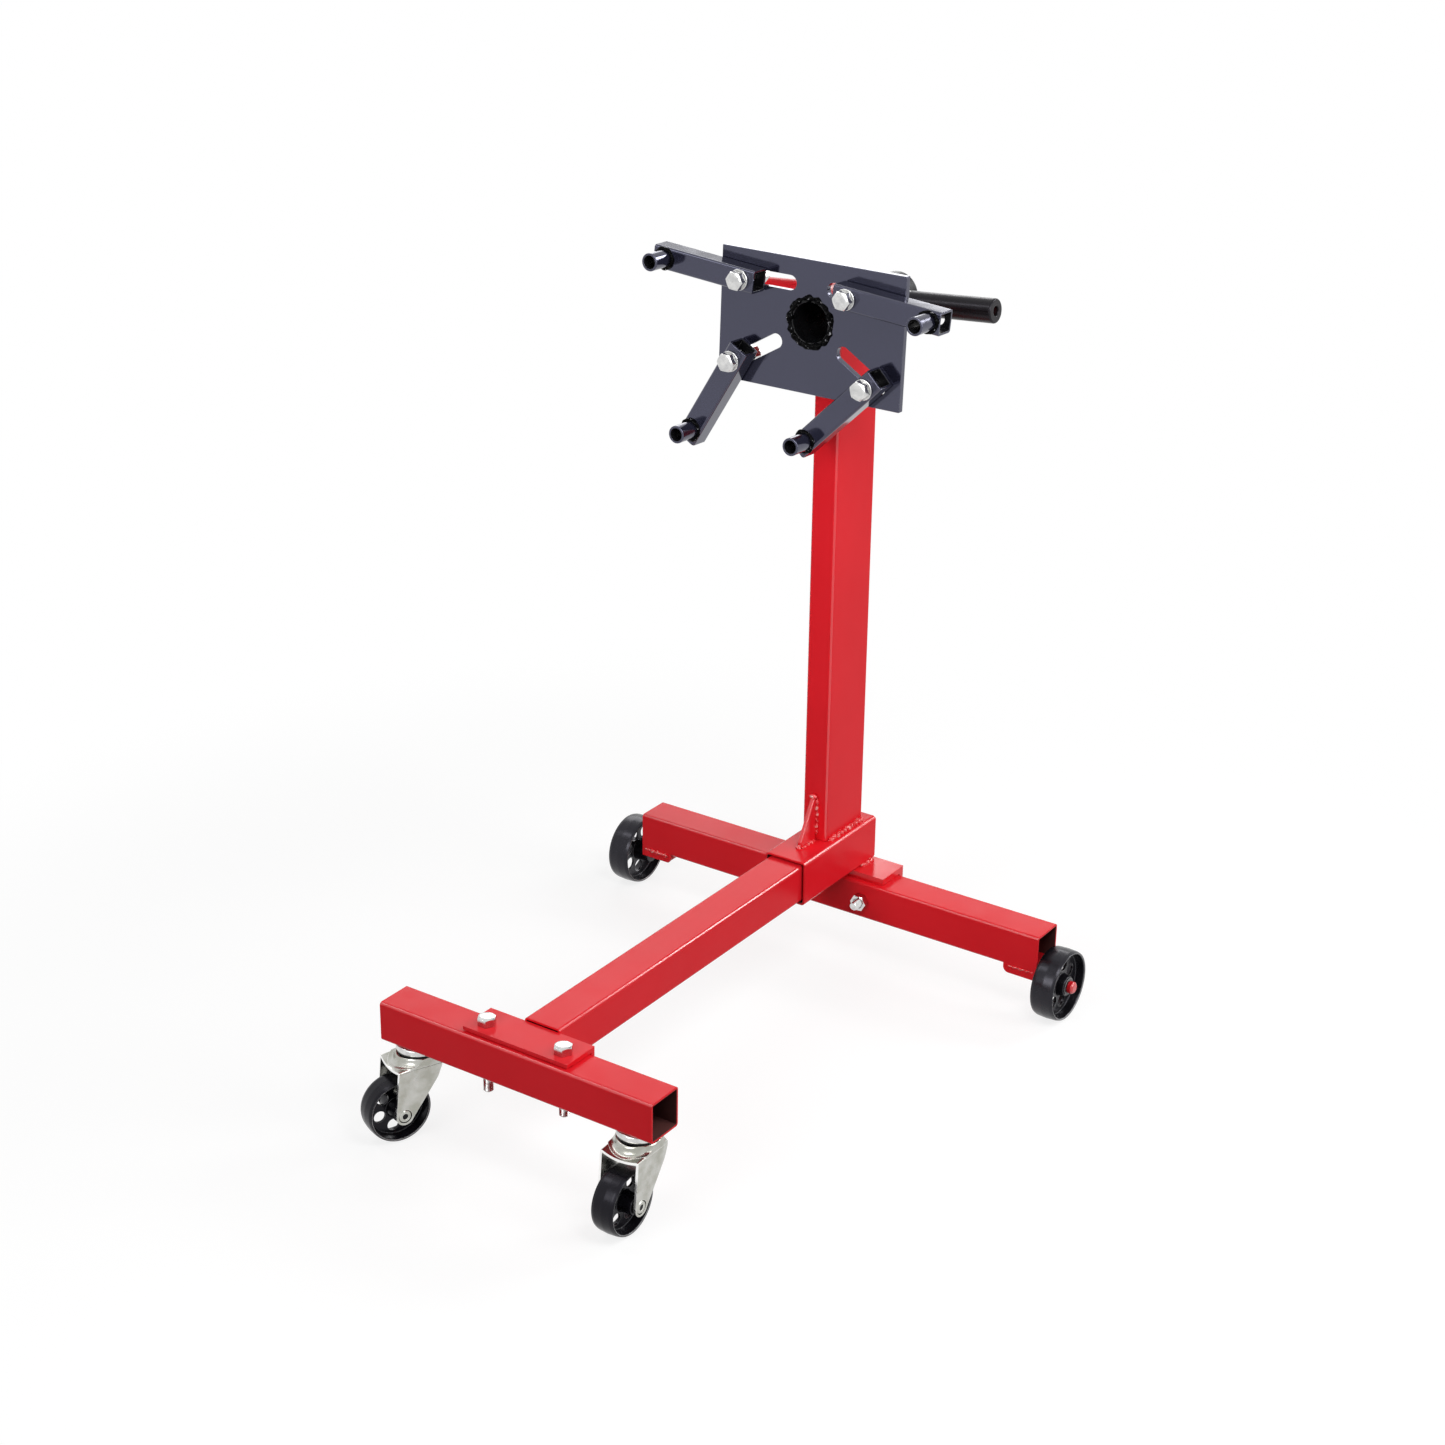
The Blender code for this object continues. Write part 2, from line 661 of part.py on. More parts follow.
for side, sign, turn in (("left", -1, CASTER_TURN_LEFT), ("right", 1, CASTER_TURN_RIGHT)):
    place = (sign * CASTER_X, FRONT_Y, 0)
    swivel = axis("caster_swivel_" + side, place, (0, 0, turn))

    race_rings = [
        (KING_HEAD_RADIUS, FORK_UNDER - SEAT - KING_HEAD_HEIGHT),
        (KING_HEAD_RADIUS, FORK_UNDER - SEAT),
        (KING_RADIUS, FORK_UNDER - SEAT),
        (KING_RADIUS, CROWN_TOP + RACE_GAP),
        (RACE_RADIUS * 0.93, CROWN_TOP + RACE_GAP),
        (RACE_RADIUS, CROWN_TOP + RACE_GAP + RACE_HEIGHT * 0.25),
        (RACE_RADIUS, CASTER_HEIGHT - RACE_HEIGHT * 0.2),
        (RACE_RADIUS * 0.96, CASTER_HEIGHT),
    ]
    race_name = "caster_race_" + side
    put(race_name, turned(race_name, race_rings, PIPE_STEPS, False), "zinc", place)

    fork_name = "caster_fork_" + side
    arch_outer = [(-FORK_HALF, FORK_LOW)]
    arch_outer += arc(
        FORK_BEND - FORK_HALF, FORK_TOP - FORK_BEND, FORK_BEND, math.pi, math.pi / 2, CORNER_STEPS
    )
    arch_outer += arc(
        FORK_HALF - FORK_BEND, FORK_TOP - FORK_BEND, FORK_BEND, math.pi / 2, 0, CORNER_STEPS
    )
    arch_outer += [(FORK_HALF, FORK_LOW), (FORK_HALF - FORK_THICKNESS, FORK_LOW)]
    bend = FORK_BEND - FORK_THICKNESS
    arch_outer += arc(
        FORK_HALF - FORK_BEND, FORK_TOP - FORK_BEND, bend, 0, math.pi / 2, CORNER_STEPS
    )
    arch_outer += arc(
        FORK_BEND - FORK_HALF, FORK_TOP - FORK_BEND, bend, math.pi / 2, math.pi, CORNER_STEPS
    )
    arch_outer += [(FORK_THICKNESS - FORK_HALF, FORK_LOW)]
    arch_front = CASTER_TRAIL + 2 * FORK_BOSS_RADIUS
    arch_rear = FORK_REAR + FORK_BOSS_RADIUS
    fork_mesh = extruded(fork_name, [arch_outer], arch_front + arch_rear)
    fork_mid = (arch_rear - arch_front) / 2
    fork = put(fork_name, fork_mesh, "zinc", (0, fork_mid, 0), ALONG_Y, swivel)

    skirt_foot = FORK_TOP - FORK_SKIRT
    lean = math.atan2(FORK_REAR + CASTER_TRAIL, skirt_foot - CASTER_WHEEL_RADIUS)
    cheek = [(-FORK_FRONT, FORK_TOP + FORK_THICKNESS)]
    cheek += arc(
        -CASTER_TRAIL,
        CASTER_WHEEL_RADIUS,
        FORK_BOSS_RADIUS,
        math.pi,
        2 * math.pi - lean / 2,
        4 * CORNER_STEPS,
    )
    cheek += [(FORK_REAR, skirt_foot), (FORK_REAR, FORK_TOP + FORK_THICKNESS)]
    cheek_mesh = extruded(fork_name + "_cheek", [cheek], 3 * FORK_HALF)
    combine(fork, cheek_mesh, "INTERSECT", (0, 0, 0), ALONG_X, swivel)
    crown_rings = [
        (CROWN_NECK_RADIUS, FORK_TOP - FORK_THICKNESS / 2),
        (CROWN_NECK_RADIUS, FORK_TOP + CROWN_LIP),
        (RACE_RADIUS, CROWN_TOP - CROWN_LIP),
        (RACE_RADIUS, CROWN_TOP),
    ]
    crown = turned(fork_name + "_crown", crown_rings, PIPE_STEPS, False)
    combine(fork, crown, "UNION", (0, 0, 0), (0, 0, 0), swivel)
    drill(fork, KING_RADIUS + RUN_FIT, TUBE, (0, 0, CROWN_TOP), (0, 0, 0), swivel)
    axle_place = (0, -CASTER_TRAIL, CASTER_WHEEL_RADIUS)
    drill(fork, RIVET_RADIUS + SEAT, 4 * FORK_HALF, axle_place, TURNED_X, swivel)

    rivet_seat = FORK_HALF + SEAT
    rivet_rings = [
        (RIVET_HEAD_RADIUS * 0.7, -rivet_seat - RIVET_HEAD_HEIGHT),
        (RIVET_HEAD_RADIUS, -rivet_seat - RIVET_HEAD_HEIGHT * 0.45),
        (RIVET_HEAD_RADIUS, -rivet_seat),
        (RIVET_RADIUS, -rivet_seat),
        (RIVET_RADIUS, rivet_seat),
        (RIVET_HEAD_RADIUS, rivet_seat),
        (RIVET_HEAD_RADIUS, rivet_seat + RIVET_HEAD_HEIGHT * 0.45),
        (RIVET_HEAD_RADIUS * 0.7, rivet_seat + RIVET_HEAD_HEIGHT),
    ]
    rivet_name = "caster_rivet_" + side
    rivet_mesh = turned(rivet_name, rivet_rings, ROUND_STEPS, False)
    put(rivet_name, rivet_mesh, "zinc", axle_place, TURNED_X, swivel)

    hub_half = CASTER_WHEEL_WIDTH / 2 + FORK_SIDE_GAP - 2 * SEAT
    wheel_name = "caster_wheel_" + side
    wheel_mesh, wheel_holes = cast_wheel(
        wheel_name,
        CASTER_WHEEL_RADIUS,
        CASTER_WHEEL_WIDTH,
        RIVET_RADIUS + RUN_FIT,
        hub_half,
        hub_half,
        CASTER_WHEEL_HOLES,
    )
    wheel = put(wheel_name, wheel_mesh, "cast", axle_place, TURNED_X, swivel)
    combine(wheel, wheel_holes, "DIFFERENCE", axle_place, TURNED_X, swivel)

# Post with a coped top under the pivot housing, and the gusset at its foot
post_foot = SLEEVE_TOP + SEAT
post_mid_y = REAR_Y - POST_FRONT + POST_DEPTH / 2
post_rear_y = post_mid_y + POST_DEPTH / 2
rear_axis_z = HEAD_HEIGHT - (post_rear_y - PLATE_FACE_Y) * math.tan(HEAD_LEAN)
post_top = rear_axis_z - HOUSING_RADIUS * 0.75
post_mesh = square_tube(
    "post", POST_WIDTH, POST_DEPTH, POST_WALL, POST_CORNER, post_top - post_foot
)
post = put("post", post_mesh, "red", (0, post_mid_y, (post_top + post_foot) / 2))
pivot = axis("pivot_axis", (0, PLATE_FACE_Y, HEAD_HEIGHT), (-HEAD_LEAN, 0, 0))
cope = HOUSING_RADIUS + SEAT
drill(post, cope, 4 * POST_DEPTH, (0, PLATE_FRONT, 0), ALONG_Y, pivot, PIPE_STEPS)

gusset_back = REAR_Y - POST_FRONT - SEAT
gusset_outline = [
    (gusset_back - GUSSET_FOOT, post_foot),
    (gusset_back, post_foot),
    (gusset_back, post_foot + GUSSET_HEIGHT),
    (gusset_back - GUSSET_LIP / 2, post_foot + GUSSET_HEIGHT),
    (gusset_back - GUSSET_FOOT, post_foot + GUSSET_LIP),
]
gusset_mesh = extruded("post_gusset", [gusset_outline], GUSSET_THICKNESS)
put("post_gusset", gusset_mesh, "red", (0, 0, 0), ALONG_X)

# Pivot housing with the boss of the lock pin on its left side
housing_rings = [
    (HOUSING_BORE, -HOUSING_LENGTH),
    (HOUSING_RADIUS, -HOUSING_LENGTH),
    (HOUSING_RADIUS, 0),
    (HOUSING_BORE, 0),
]
housing_mesh = turned("pivot_housing", housing_rings, PIPE_STEPS, True)
housing_place = (0, HOUSING_BEHIND, 0)
housing = put("pivot_housing", housing_mesh, "red", housing_place, ALONG_Y, pivot)
boss_end = HOUSING_RADIUS + LOCK_BOSS_HEIGHT
boss_start = HOUSING_RADIUS - HOUSING_WALL / 2
boss_rings = [(LOCK_BOSS_RADIUS, boss_start), (LOCK_BOSS_RADIUS, boss_end)]
boss = turned("pivot_housing_boss", boss_rings, ROUND_STEPS, False)
lock_place = (0, LOCK_BEHIND, 0)
to_left = (0, -math.pi / 2, 0)
combine(housing, boss, "UNION", lock_place, to_left, pivot)
drill(
    housing,
    LOCK_RADIUS + RUN_FIT,
    2 * HOUSING_RADIUS,
    (-HOUSING_RADIUS - SPINDLE_WALL, LOCK_BEHIND, 0),
    TURNED_X,
    pivot,
)

lock_tip = HOUSING_BORE + SEAT
knob_start = boss_end + LOCK_KNOB_CLEAR + LOCK_TRAVEL
lock_rings = [
    (LOCK_RADIUS * 0.8, lock_tip),
    (LOCK_RADIUS, lock_tip + LOCK_RADIUS * 0.2),
    (LOCK_RADIUS, knob_start),
    (LOCK_KNOB_RADIUS, knob_start),
    (LOCK_KNOB_RADIUS, knob_start + LOCK_KNOB_LENGTH * 0.8),
    (LOCK_KNOB_RADIUS * 0.8, knob_start + LOCK_KNOB_LENGTH),
]
lock_mesh = turned("lock_pin", lock_rings, ROUND_STEPS, False)
put("lock_pin", lock_mesh, "zinc", lock_place, to_left, pivot)

# Turning head: spindle, plate, handle rod and grip
head = axis("head_axis", (0, 0, 0), (0, 0, 0), pivot)
spindle_rings = [
    (SPINDLE_RADIUS - SPINDLE_WALL, -SPINDLE_LENGTH),
    (SPINDLE_RADIUS, -SPINDLE_LENGTH),
    (SPINDLE_RADIUS, 0),
    (SPINDLE_RADIUS - SPINDLE_WALL, 0),
]
spindle_mesh = turned("spindle", spindle_rings, PIPE_STEPS, True)
spindle = put("spindle", spindle_mesh, "black", (0, 0, 0), ALONG_Y, head)
across = 3 * SPINDLE_RADIUS
for turn in (TURNED_X, (0, 0, 0)):
    drill(spindle, LOCK_RADIUS + RUN_FIT, across, (0, LOCK_BEHIND, 0), turn, head, HOLE_STEPS)

handle = axis("handle_axis", (0, HANDLE_BEHIND, -HANDLE_DROP), (0, -HANDLE_TILT, 0), head)
drill(spindle, HANDLE_ROD_RADIUS + SEAT, across, (0, 0, 0), TURNED_X, handle)
rod_rings = [
    (HANDLE_ROD_RADIUS * 0.6, -HANDLE_ROD_LEFT),
    (HANDLE_ROD_RADIUS, -HANDLE_ROD_LEFT + HANDLE_ROD_RADIUS * 0.4),
    (HANDLE_ROD_RADIUS, HANDLE_ROD_RIGHT),
]
rod_mesh = turned("handle_rod", rod_rings, ROUND_STEPS, False)
put("handle_rod", rod_mesh, "red", (0, 0, 0), TURNED_X, handle)
grip_bore = HANDLE_ROD_RADIUS + SEAT
grip_round = GRIP_RADIUS * 0.12
grip_rings = [
    (grip_bore, GRIP_START),
    (GRIP_RADIUS - grip_round, GRIP_START),
    (GRIP_RADIUS, GRIP_START + grip_round),
    (GRIP_RADIUS, GRIP_END - grip_round),
    (GRIP_RADIUS - grip_round, GRIP_END),
    (GRIP_HOLE_RADIUS, GRIP_END),
    (GRIP_HOLE_RADIUS, HANDLE_ROD_RIGHT + SEAT),
    (grip_bore, HANDLE_ROD_RIGHT + SEAT),
]
grip_mesh = turned("handle_grip", grip_rings, ROUND_STEPS, True)
put("handle_grip", grip_mesh, "rubber", (0, 0, 0), TURNED_X, handle)


def slot_point(sign, upper, along):
    """Point of a slot's centre line, from the turning axis, seen from the front."""
    if upper:
        return (sign * (UPPER_SLOT_X + along), UPPER_SLOT_Z)
    x = LOWER_SLOT_X + along * math.cos(LOWER_SLOT_ANGLE)
    z = -LOWER_SLOT_Z - along * math.sin(LOWER_SLOT_ANGLE)
    return (sign * x, z)


half_width = PLATE_WIDTH / 2
plate_outline = [
    (-half_width, -PLATE_BOTTOM),
    (half_width, -PLATE_BOTTOM),
    (half_width, PLATE_TOP),
    (-half_width, PLATE_TOP),
]
plate_loops = [plate_outline, circle(SPINDLE_RADIUS + SEAT, PIPE_STEPS)]
for slot_sign in (-1, 1):
    for slot_upper, travel in ((True, UPPER_SLOT_TRAVEL), (False, LOWER_SLOT_TRAVEL)):
        inner_end = slot_point(slot_sign, slot_upper, 0)
        outer_end = slot_point(slot_sign, slot_upper, travel)
        plate_loops.append(stadium(inner_end, outer_end, SLOT_RADIUS, HOLE_STEPS // 2))
plate_mesh = extruded("mount_plate", plate_loops, PLATE_THICKNESS)
put("mount_plate", plate_mesh, "black", (0, PLATE_THICKNESS / 2, 0), ALONG_Y, head)

# Four arms, each on a bolt that slides in its slot
for name, (sign, upper, along, pointing) in ARM_PLACES.items():
    slot_x, slot_z = slot_point(sign, upper, along)
    bolt_axis = axis("arm_bolt_axis_" + name, (slot_x, 0, slot_z), (0, 0, 0), head)
    swing = axis("arm_axis_" + name, (0, 0, 0), (0, -pointing, 0), bolt_axis)
    arm_back = -SEAT
    arm_mid = arm_back - ARM_SIDE / 2
    arm_face = arm_back - ARM_SIDE

    arm_name = "arm_" + name
    arm_mesh = square_tube(arm_name, ARM_SIDE, ARM_SIDE, ARM_WALL, ARM_CORNER, ARM_LENGTH)
    arm_place = (ARM_LENGTH / 2 - ARM_BOLT_INSET, arm_mid, 0)
    arm = put(arm_name, arm_mesh, "black", arm_place, ALONG_X, swing)
    drill(arm, ARM_BOLT_RADIUS + BOLT_FIT, 3 * ARM_SIDE, (0, arm_mid, 0), ALONG_Y, swing)
    tube_x = ARM_LENGTH - ARM_BOLT_INSET - ARM_TUBE_INSET
    tube_bore = ARM_TUBE_RADIUS - ARM_TUBE_WALL
    drill(arm, tube_bore, 3 * ARM_SIDE, (tube_x, arm_mid, 0), ALONG_Y, swing)

    tube_name = "arm_tube_" + name
    tube_rings = [
        (tube_bore, 0),
        (ARM_TUBE_RADIUS, 0),
        (ARM_TUBE_RADIUS, ARM_TUBE_LENGTH),
        (tube_bore, ARM_TUBE_LENGTH),
    ]
    tube_mesh = turned(tube_name, tube_rings, ROUND_STEPS, True)
    put(tube_name, tube_mesh, "black", (tube_x, arm_face - SEAT, 0), ALONG_Y, swing)

    washer_name = "arm_washer_" + name
    washer_seat = arm_face - SEAT
    washer_bore = ARM_BOLT_RADIUS + BOLT_FIT
    washer_rings = [
        (washer_bore, 0),
        (WASHER_RADIUS, 0),
        (WASHER_RADIUS, WASHER_THICKNESS),
        (washer_bore, WASHER_THICKNESS),
    ]
    washer_mesh = turned(washer_name, washer_rings, ROUND_STEPS, True)
    put(washer_name, washer_mesh, "zinc", (0, washer_seat, 0), ALONG_Y, bolt_axis)

    head_seat = washer_seat - WASHER_THICKNESS - SEAT
    nut_seat = PLATE_THICKNESS + SEAT
    shank = nut_seat + ARM_NUT_HEIGHT + ARM_BOLT_TAIL - head_seat
    bolt_name = "arm_bolt_" + name
    bolt_mesh = hex_bolt(bolt_name, ARM_BOLT_RADIUS, ARM_BOLT_FLATS, ARM_HEAD_HEIGHT, shank)
    put(bolt_name, bolt_mesh, "zinc", (0, head_seat, 0), ALONG_Y, bolt_axis)
    nut_name = "arm_nut_" + name
    nut_mesh = hex_nut(nut_name, ARM_BOLT_RADIUS, ARM_BOLT_FLATS, ARM_NUT_HEIGHT)
    put(nut_name, nut_mesh, "zinc", (0, nut_seat, 0), (-math.pi / 2, 0, 0), bolt_axis)

bpy.context.view_layer.update()
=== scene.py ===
"""Looks of the wheeled engine stand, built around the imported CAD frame.

Metres, +Z up. Every piece takes its place and main sizes from the frame's nodes and joints.
"""

import json
from math import atan2, cos, hypot, pi, radians, sin, tan

import bmesh
import bpy
from mathutils import Matrix, Vector, noise


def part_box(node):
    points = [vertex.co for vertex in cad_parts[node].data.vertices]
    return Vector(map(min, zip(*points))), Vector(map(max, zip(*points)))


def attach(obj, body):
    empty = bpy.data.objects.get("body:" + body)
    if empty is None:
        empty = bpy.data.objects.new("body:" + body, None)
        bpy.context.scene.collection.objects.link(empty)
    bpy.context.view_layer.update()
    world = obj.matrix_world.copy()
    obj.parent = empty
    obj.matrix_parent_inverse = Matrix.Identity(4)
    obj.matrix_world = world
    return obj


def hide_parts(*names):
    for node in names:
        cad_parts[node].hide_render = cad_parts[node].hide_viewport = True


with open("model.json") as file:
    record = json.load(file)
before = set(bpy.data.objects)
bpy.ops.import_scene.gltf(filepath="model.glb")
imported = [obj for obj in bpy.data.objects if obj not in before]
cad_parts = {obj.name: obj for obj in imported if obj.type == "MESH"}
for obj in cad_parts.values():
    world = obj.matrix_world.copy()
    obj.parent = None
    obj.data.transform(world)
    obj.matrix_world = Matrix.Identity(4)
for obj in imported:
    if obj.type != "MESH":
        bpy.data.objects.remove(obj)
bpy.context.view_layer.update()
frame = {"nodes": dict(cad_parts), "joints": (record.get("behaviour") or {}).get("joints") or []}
JOINTS = {joint["name"]: joint for joint in frame["joints"]}
SIDES = (("left", -1), ("right", 1))
ARMS = ("upper_left", "upper_right", "lower_left", "lower_right")

# Sizes that the frame's boxes don't give
TUBE_WALL = 0.003
TUBE_CORNER = 0.004
SLEEVE_CORNER = 0.005
ARM_CORNER = 0.0036
SHEET_EDGE = 0.0007  # rounding of sawn and sheared edges
FIT = 0.0003  # gap between pieces that meet
FINE = 0.0002  # gap that only keeps two faces apart
BOLT_FIT = 0.0005
ARM_BOLT_RADIUS = 0.008
ARM_BOLT = (ARM_BOLT_RADIUS, 0.021, 0.010)  # radius, width over flats, head
BASE_BOLT = (0.006, 0.020, 0.0105)
THREAD_PITCH = 0.00175
THREAD_DEPTH = 0.0009
SPINDLE_WALL = 0.004
SLOT_RADIUS = 0.009
UPPER_SLOT = (0.0305, 0.0435, 0.0715, 0.0)  # inner end, travel and fall
LOWER_SLOT = (0.0475, -0.030, 0.0605, radians(31.0))
LOCK_HOLE = 0.0054

# Angles between faces from which an edge shows sharp
SHARP = radians(32)
SHARP_BOLT = radians(25)
SHARP_FORK = radians(40)
SHARP_WELD = radians(60)


def axes(origin, x, z):
    """Frame at origin with the given x and z directions."""
    x = Vector(x).normalized()
    z = Vector(z).normalized()
    y = z.cross(x)
    made = Matrix((x, y, z)).transposed().to_4x4()
    made.translation = Vector(origin)
    return made


# Axes of a frame that a mesh's own x, y and z are laid along
UPRIGHT = Matrix.Identity(4)
LYING = axes((0, 0, 0), (0, 1, 0), (1, 0, 0))
FACING = axes((0, 0, 0), (1, 0, 0), (0, -1, 0))
REARWARD = axes((0, 0, 0), (-1, 0, 0), (0, 1, 0))
Z_TO_X = Matrix.Rotation(pi / 2, 4, "Y")
Z_TO_LEFT = Matrix.Rotation(-pi / 2, 4, "Y")
Z_TO_Y = Matrix.Rotation(pi / 2, 4, "X")
TURNED_OVER = Matrix.Rotation(pi, 4, "X")


def at(x, y, z):
    return Matrix.Translation((x, y, z))


def span(node, where=UPRIGHT):
    """Lowest and highest corner of a CAD node in a frame's own axes."""
    back = where.inverted()
    points = [back @ vertex.co for vertex in frame["nodes"][node].data.vertices]
    low = Vector([min(point[i] for point in points) for i in range(3)])
    high = Vector([max(point[i] for point in points) for i in range(3)])
    return low, high


def shown(name, data):
    """New object in the scene."""
    made = bpy.data.objects.new(name, data)
    bpy.context.scene.collection.objects.link(made)
    return made


def finished(name, work):
    """Mesh from a bmesh, which is freed."""
    mesh = bpy.data.meshes.new(name)
    work.to_mesh(mesh)
    work.free()
    return mesh


# Camera at the photo's angle
PHOTO_WIDTH = 1445
CAMERA_AZIMUTH = radians(34.23)
CAMERA_ELEVATION = radians(23.92)
CAMERA_ROLL = radians(0.70)
CAMERA_DISTANCE = 3.3053
CAMERA_FOCUS = 2756.12  # pixels of the photo
PHOTO_CENTRE_X = 714.24  # pixel that the camera's axis meets
PHOTO_CENTRE_Y = 725.93
AIM_AHEAD = 0.306  # aim point ahead of the rear beam
AIM_HEIGHT = 0.4312
SENSOR = 36.0


def make_camera():
    low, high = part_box("rear_beam")
    target = Vector((0, (low.y + high.y) / 2 - AIM_AHEAD, AIM_HEIGHT))
    level = cos(CAMERA_ELEVATION)
    ahead = -cos(CAMERA_AZIMUTH) * level
    back = Vector((sin(CAMERA_AZIMUTH) * level, ahead, sin(CAMERA_ELEVATION)))
    right = (-back).cross(Vector((0, 0, 1))).normalized()
    up = right.cross(-back)
    rolled = right * cos(CAMERA_ROLL) + up * sin(CAMERA_ROLL)
    lens = bpy.data.cameras.new("photo_camera")
    lens.sensor_width = SENSOR
    lens.lens = SENSOR * CAMERA_FOCUS / PHOTO_WIDTH
    lens.shift_x = (PHOTO_WIDTH / 2 - PHOTO_CENTRE_X) / PHOTO_WIDTH
    lens.shift_y = (PHOTO_CENTRE_Y - PHOTO_WIDTH / 2) / PHOTO_WIDTH
    camera = shown("photo_camera", lens)
    camera.matrix_world = axes(target + back * CAMERA_DISTANCE, rolled, back)
    bpy.context.scene.camera = camera


# Shader nodes
class Nodes:
    """Shader nodes of one material or world."""

    def __init__(self, owner):
        owner.use_nodes = True
        self.tree = owner.node_tree

    def link(self, source, socket):
        """Links an output, or a node's first output, to an input."""
        if isinstance(source, bpy.types.Node):
            source = source.outputs[0]
        self.tree.links.new(source, socket)

    def add(self, kind, *sources, operation=None, **values):
        """New node: sources feed its first inputs, and values set others, with _ for a space."""
        made = self.tree.nodes.new("ShaderNode" + kind)
        if operation:
            made.operation = operation
        for socket, source in zip(made.inputs, sources):
            self.link(source, socket)
        for name, value in values.items():
            made.inputs[name.replace("_", " ")].default_value = value
        return made

    def seen_directly(self):
        """1 for camera rays and for rays in metal or glass, 0 for those that only carry light."""
        path = self.add("LightPath").outputs
        seen = self.add("Math", path["Is Camera Ray"], path["Is Glossy Ray"], operation="MAXIMUM")
        return self.add("Math", seen, path["Is Transmission Ray"], operation="MAXIMUM")


# Studio: white room, floor that keeps a faint shadow, and softboxes
AMBIENT = 0.11
FLOOR_GREY = 0.40  # what the floor gives back as light
FLOOR_GLOW = 0.80  # what it shows on top of its shading
FLOOR_SHADED = 0.24
FLOOR_NEAR = 0.70  # where the floor starts to fade to plain white, and where it ends
FLOOR_FAR = 1.35
FLOOR_SIZE = 12.0
NARROW_BEAM = radians(40)


def make_room():
    world = bpy.data.worlds.new("white_room")
    bpy.context.scene.world = world
    room = Nodes(world)
    room.tree.nodes.clear()
    fill = room.add("Background", Color=(1, 1, 1, 1), Strength=AMBIENT)
    white = room.add("Background", Color=(1, 1, 1, 1))
    room.add("OutputWorld", room.add("MixShader", room.seen_directly(), fill, white))


def make_floor():
    """Shows white with a faint shadow, and gives back as much light as a grey floor."""
    work = bmesh.new()
    bmesh.ops.create_grid(work, x_segments=8, y_segments=8, size=FLOOR_SIZE)
    floor = shown("floor", finished("floor", work))
    made = bpy.data.materials.new("white_floor")
    paint = Nodes(made)
    paint.tree.nodes.clear()
    far = paint.add("VectorMath", paint.add("TexCoord").outputs["Object"], operation="LENGTH")
    fade = paint.add("MapRange", far.outputs["Value"], From_Min=FLOOR_NEAR, From_Max=FLOOR_FAR)
    fade.interpolation_type = "SMOOTHSTEP"
    shaded = paint.add("BsdfDiffuse", Color=(FLOOR_SHADED, FLOOR_SHADED, FLOOR_SHADED, 1))
    near = paint.add("AddShader", shaded, paint.add("Emission", Strength=FLOOR_GLOW))
    white = paint.add("MixShader", fade, near, paint.add("Emission"))
    grey = paint.add("BsdfDiffuse", Color=(FLOOR_GREY, FLOOR_GREY, FLOOR_GREY, 1))
    paint.add("OutputMaterial", paint.add("MixShader", paint.seen_directly(), grey, white))
    floor.data.materials.append(made)


def softbox(name, place, aim, size, radiance, along=(1, 0, 0), beam=pi):
    """Lamp whose face has the given radiance; along is its long side."""
    width, height = size
    lamp = bpy.data.lights.new(name, "AREA")
    lamp.shape = "RECTANGLE"
    lamp.size = width
    lamp.size_y = height
    lamp.spread = beam
    lamp.energy = radiance * pi * width * height
    holder = shown(name, lamp)
    back = (Vector(place) - Vector(aim)).normalized()
    side = Vector(along)
    holder.matrix_world = axes(place, side - back * side.dot(back), back)


def make_lights():
    softbox("front_high", (-0.15, -1.95, 1.2), (0, 0.15, 0.6), (1.0, 1.0), 4.0)
    softbox("face_light", (-0.4, -2.0, 1.5), (0, 0.26, 0.75), (0.9, 0.9), 0.40, beam=NARROW_BEAM)
    softbox("left_strip", (-1.15, -0.62, 1.9), (0, 0.1, 0.3), (1.1, 0.3), 4.5)
    softbox("head_light", (0.9, -0.45, 1.65), (0, 0.3, 0.6), (0.6, 0.6), 8.5)
    softbox("right_side", (2.4, 0.6, 1.6), (0, 0.25, 0.6), (1.36, 1.36), 5.2)
    softbox("edge_strip", (1.64, 2.92, 2.25), (0, 0, 0.3), (1.5, 0.55), 14.0, (0.78, 0, -0.62))
    softbox("rear_low", (-1.25, 2.6, 1.40), (0, 0.3, 0.15), (1.7, 0.44), 3.2)
    softbox("rear_high", (-2.2, 2.6, 2.30), (0, -0.2, 0.2), (1.7, 0.80), 3.2)


# Materials
RED_TONES = ((0.72, 0.012, 0.020), (0.76, 0.014, 0.023))
WHITE = (1, 1, 1)
NOISE_LOW = 0.3  # range that most of a noise lies in
NOISE_HIGH = 0.7
PATCH_GRAIN = 7
WEAR_AND_HIGHLIGHT_GRAIN = 90
FLAT = 0.995  # cosines between which the lighter edge tone shows, for wear and painted highlight
ON_EDGE = 0.90


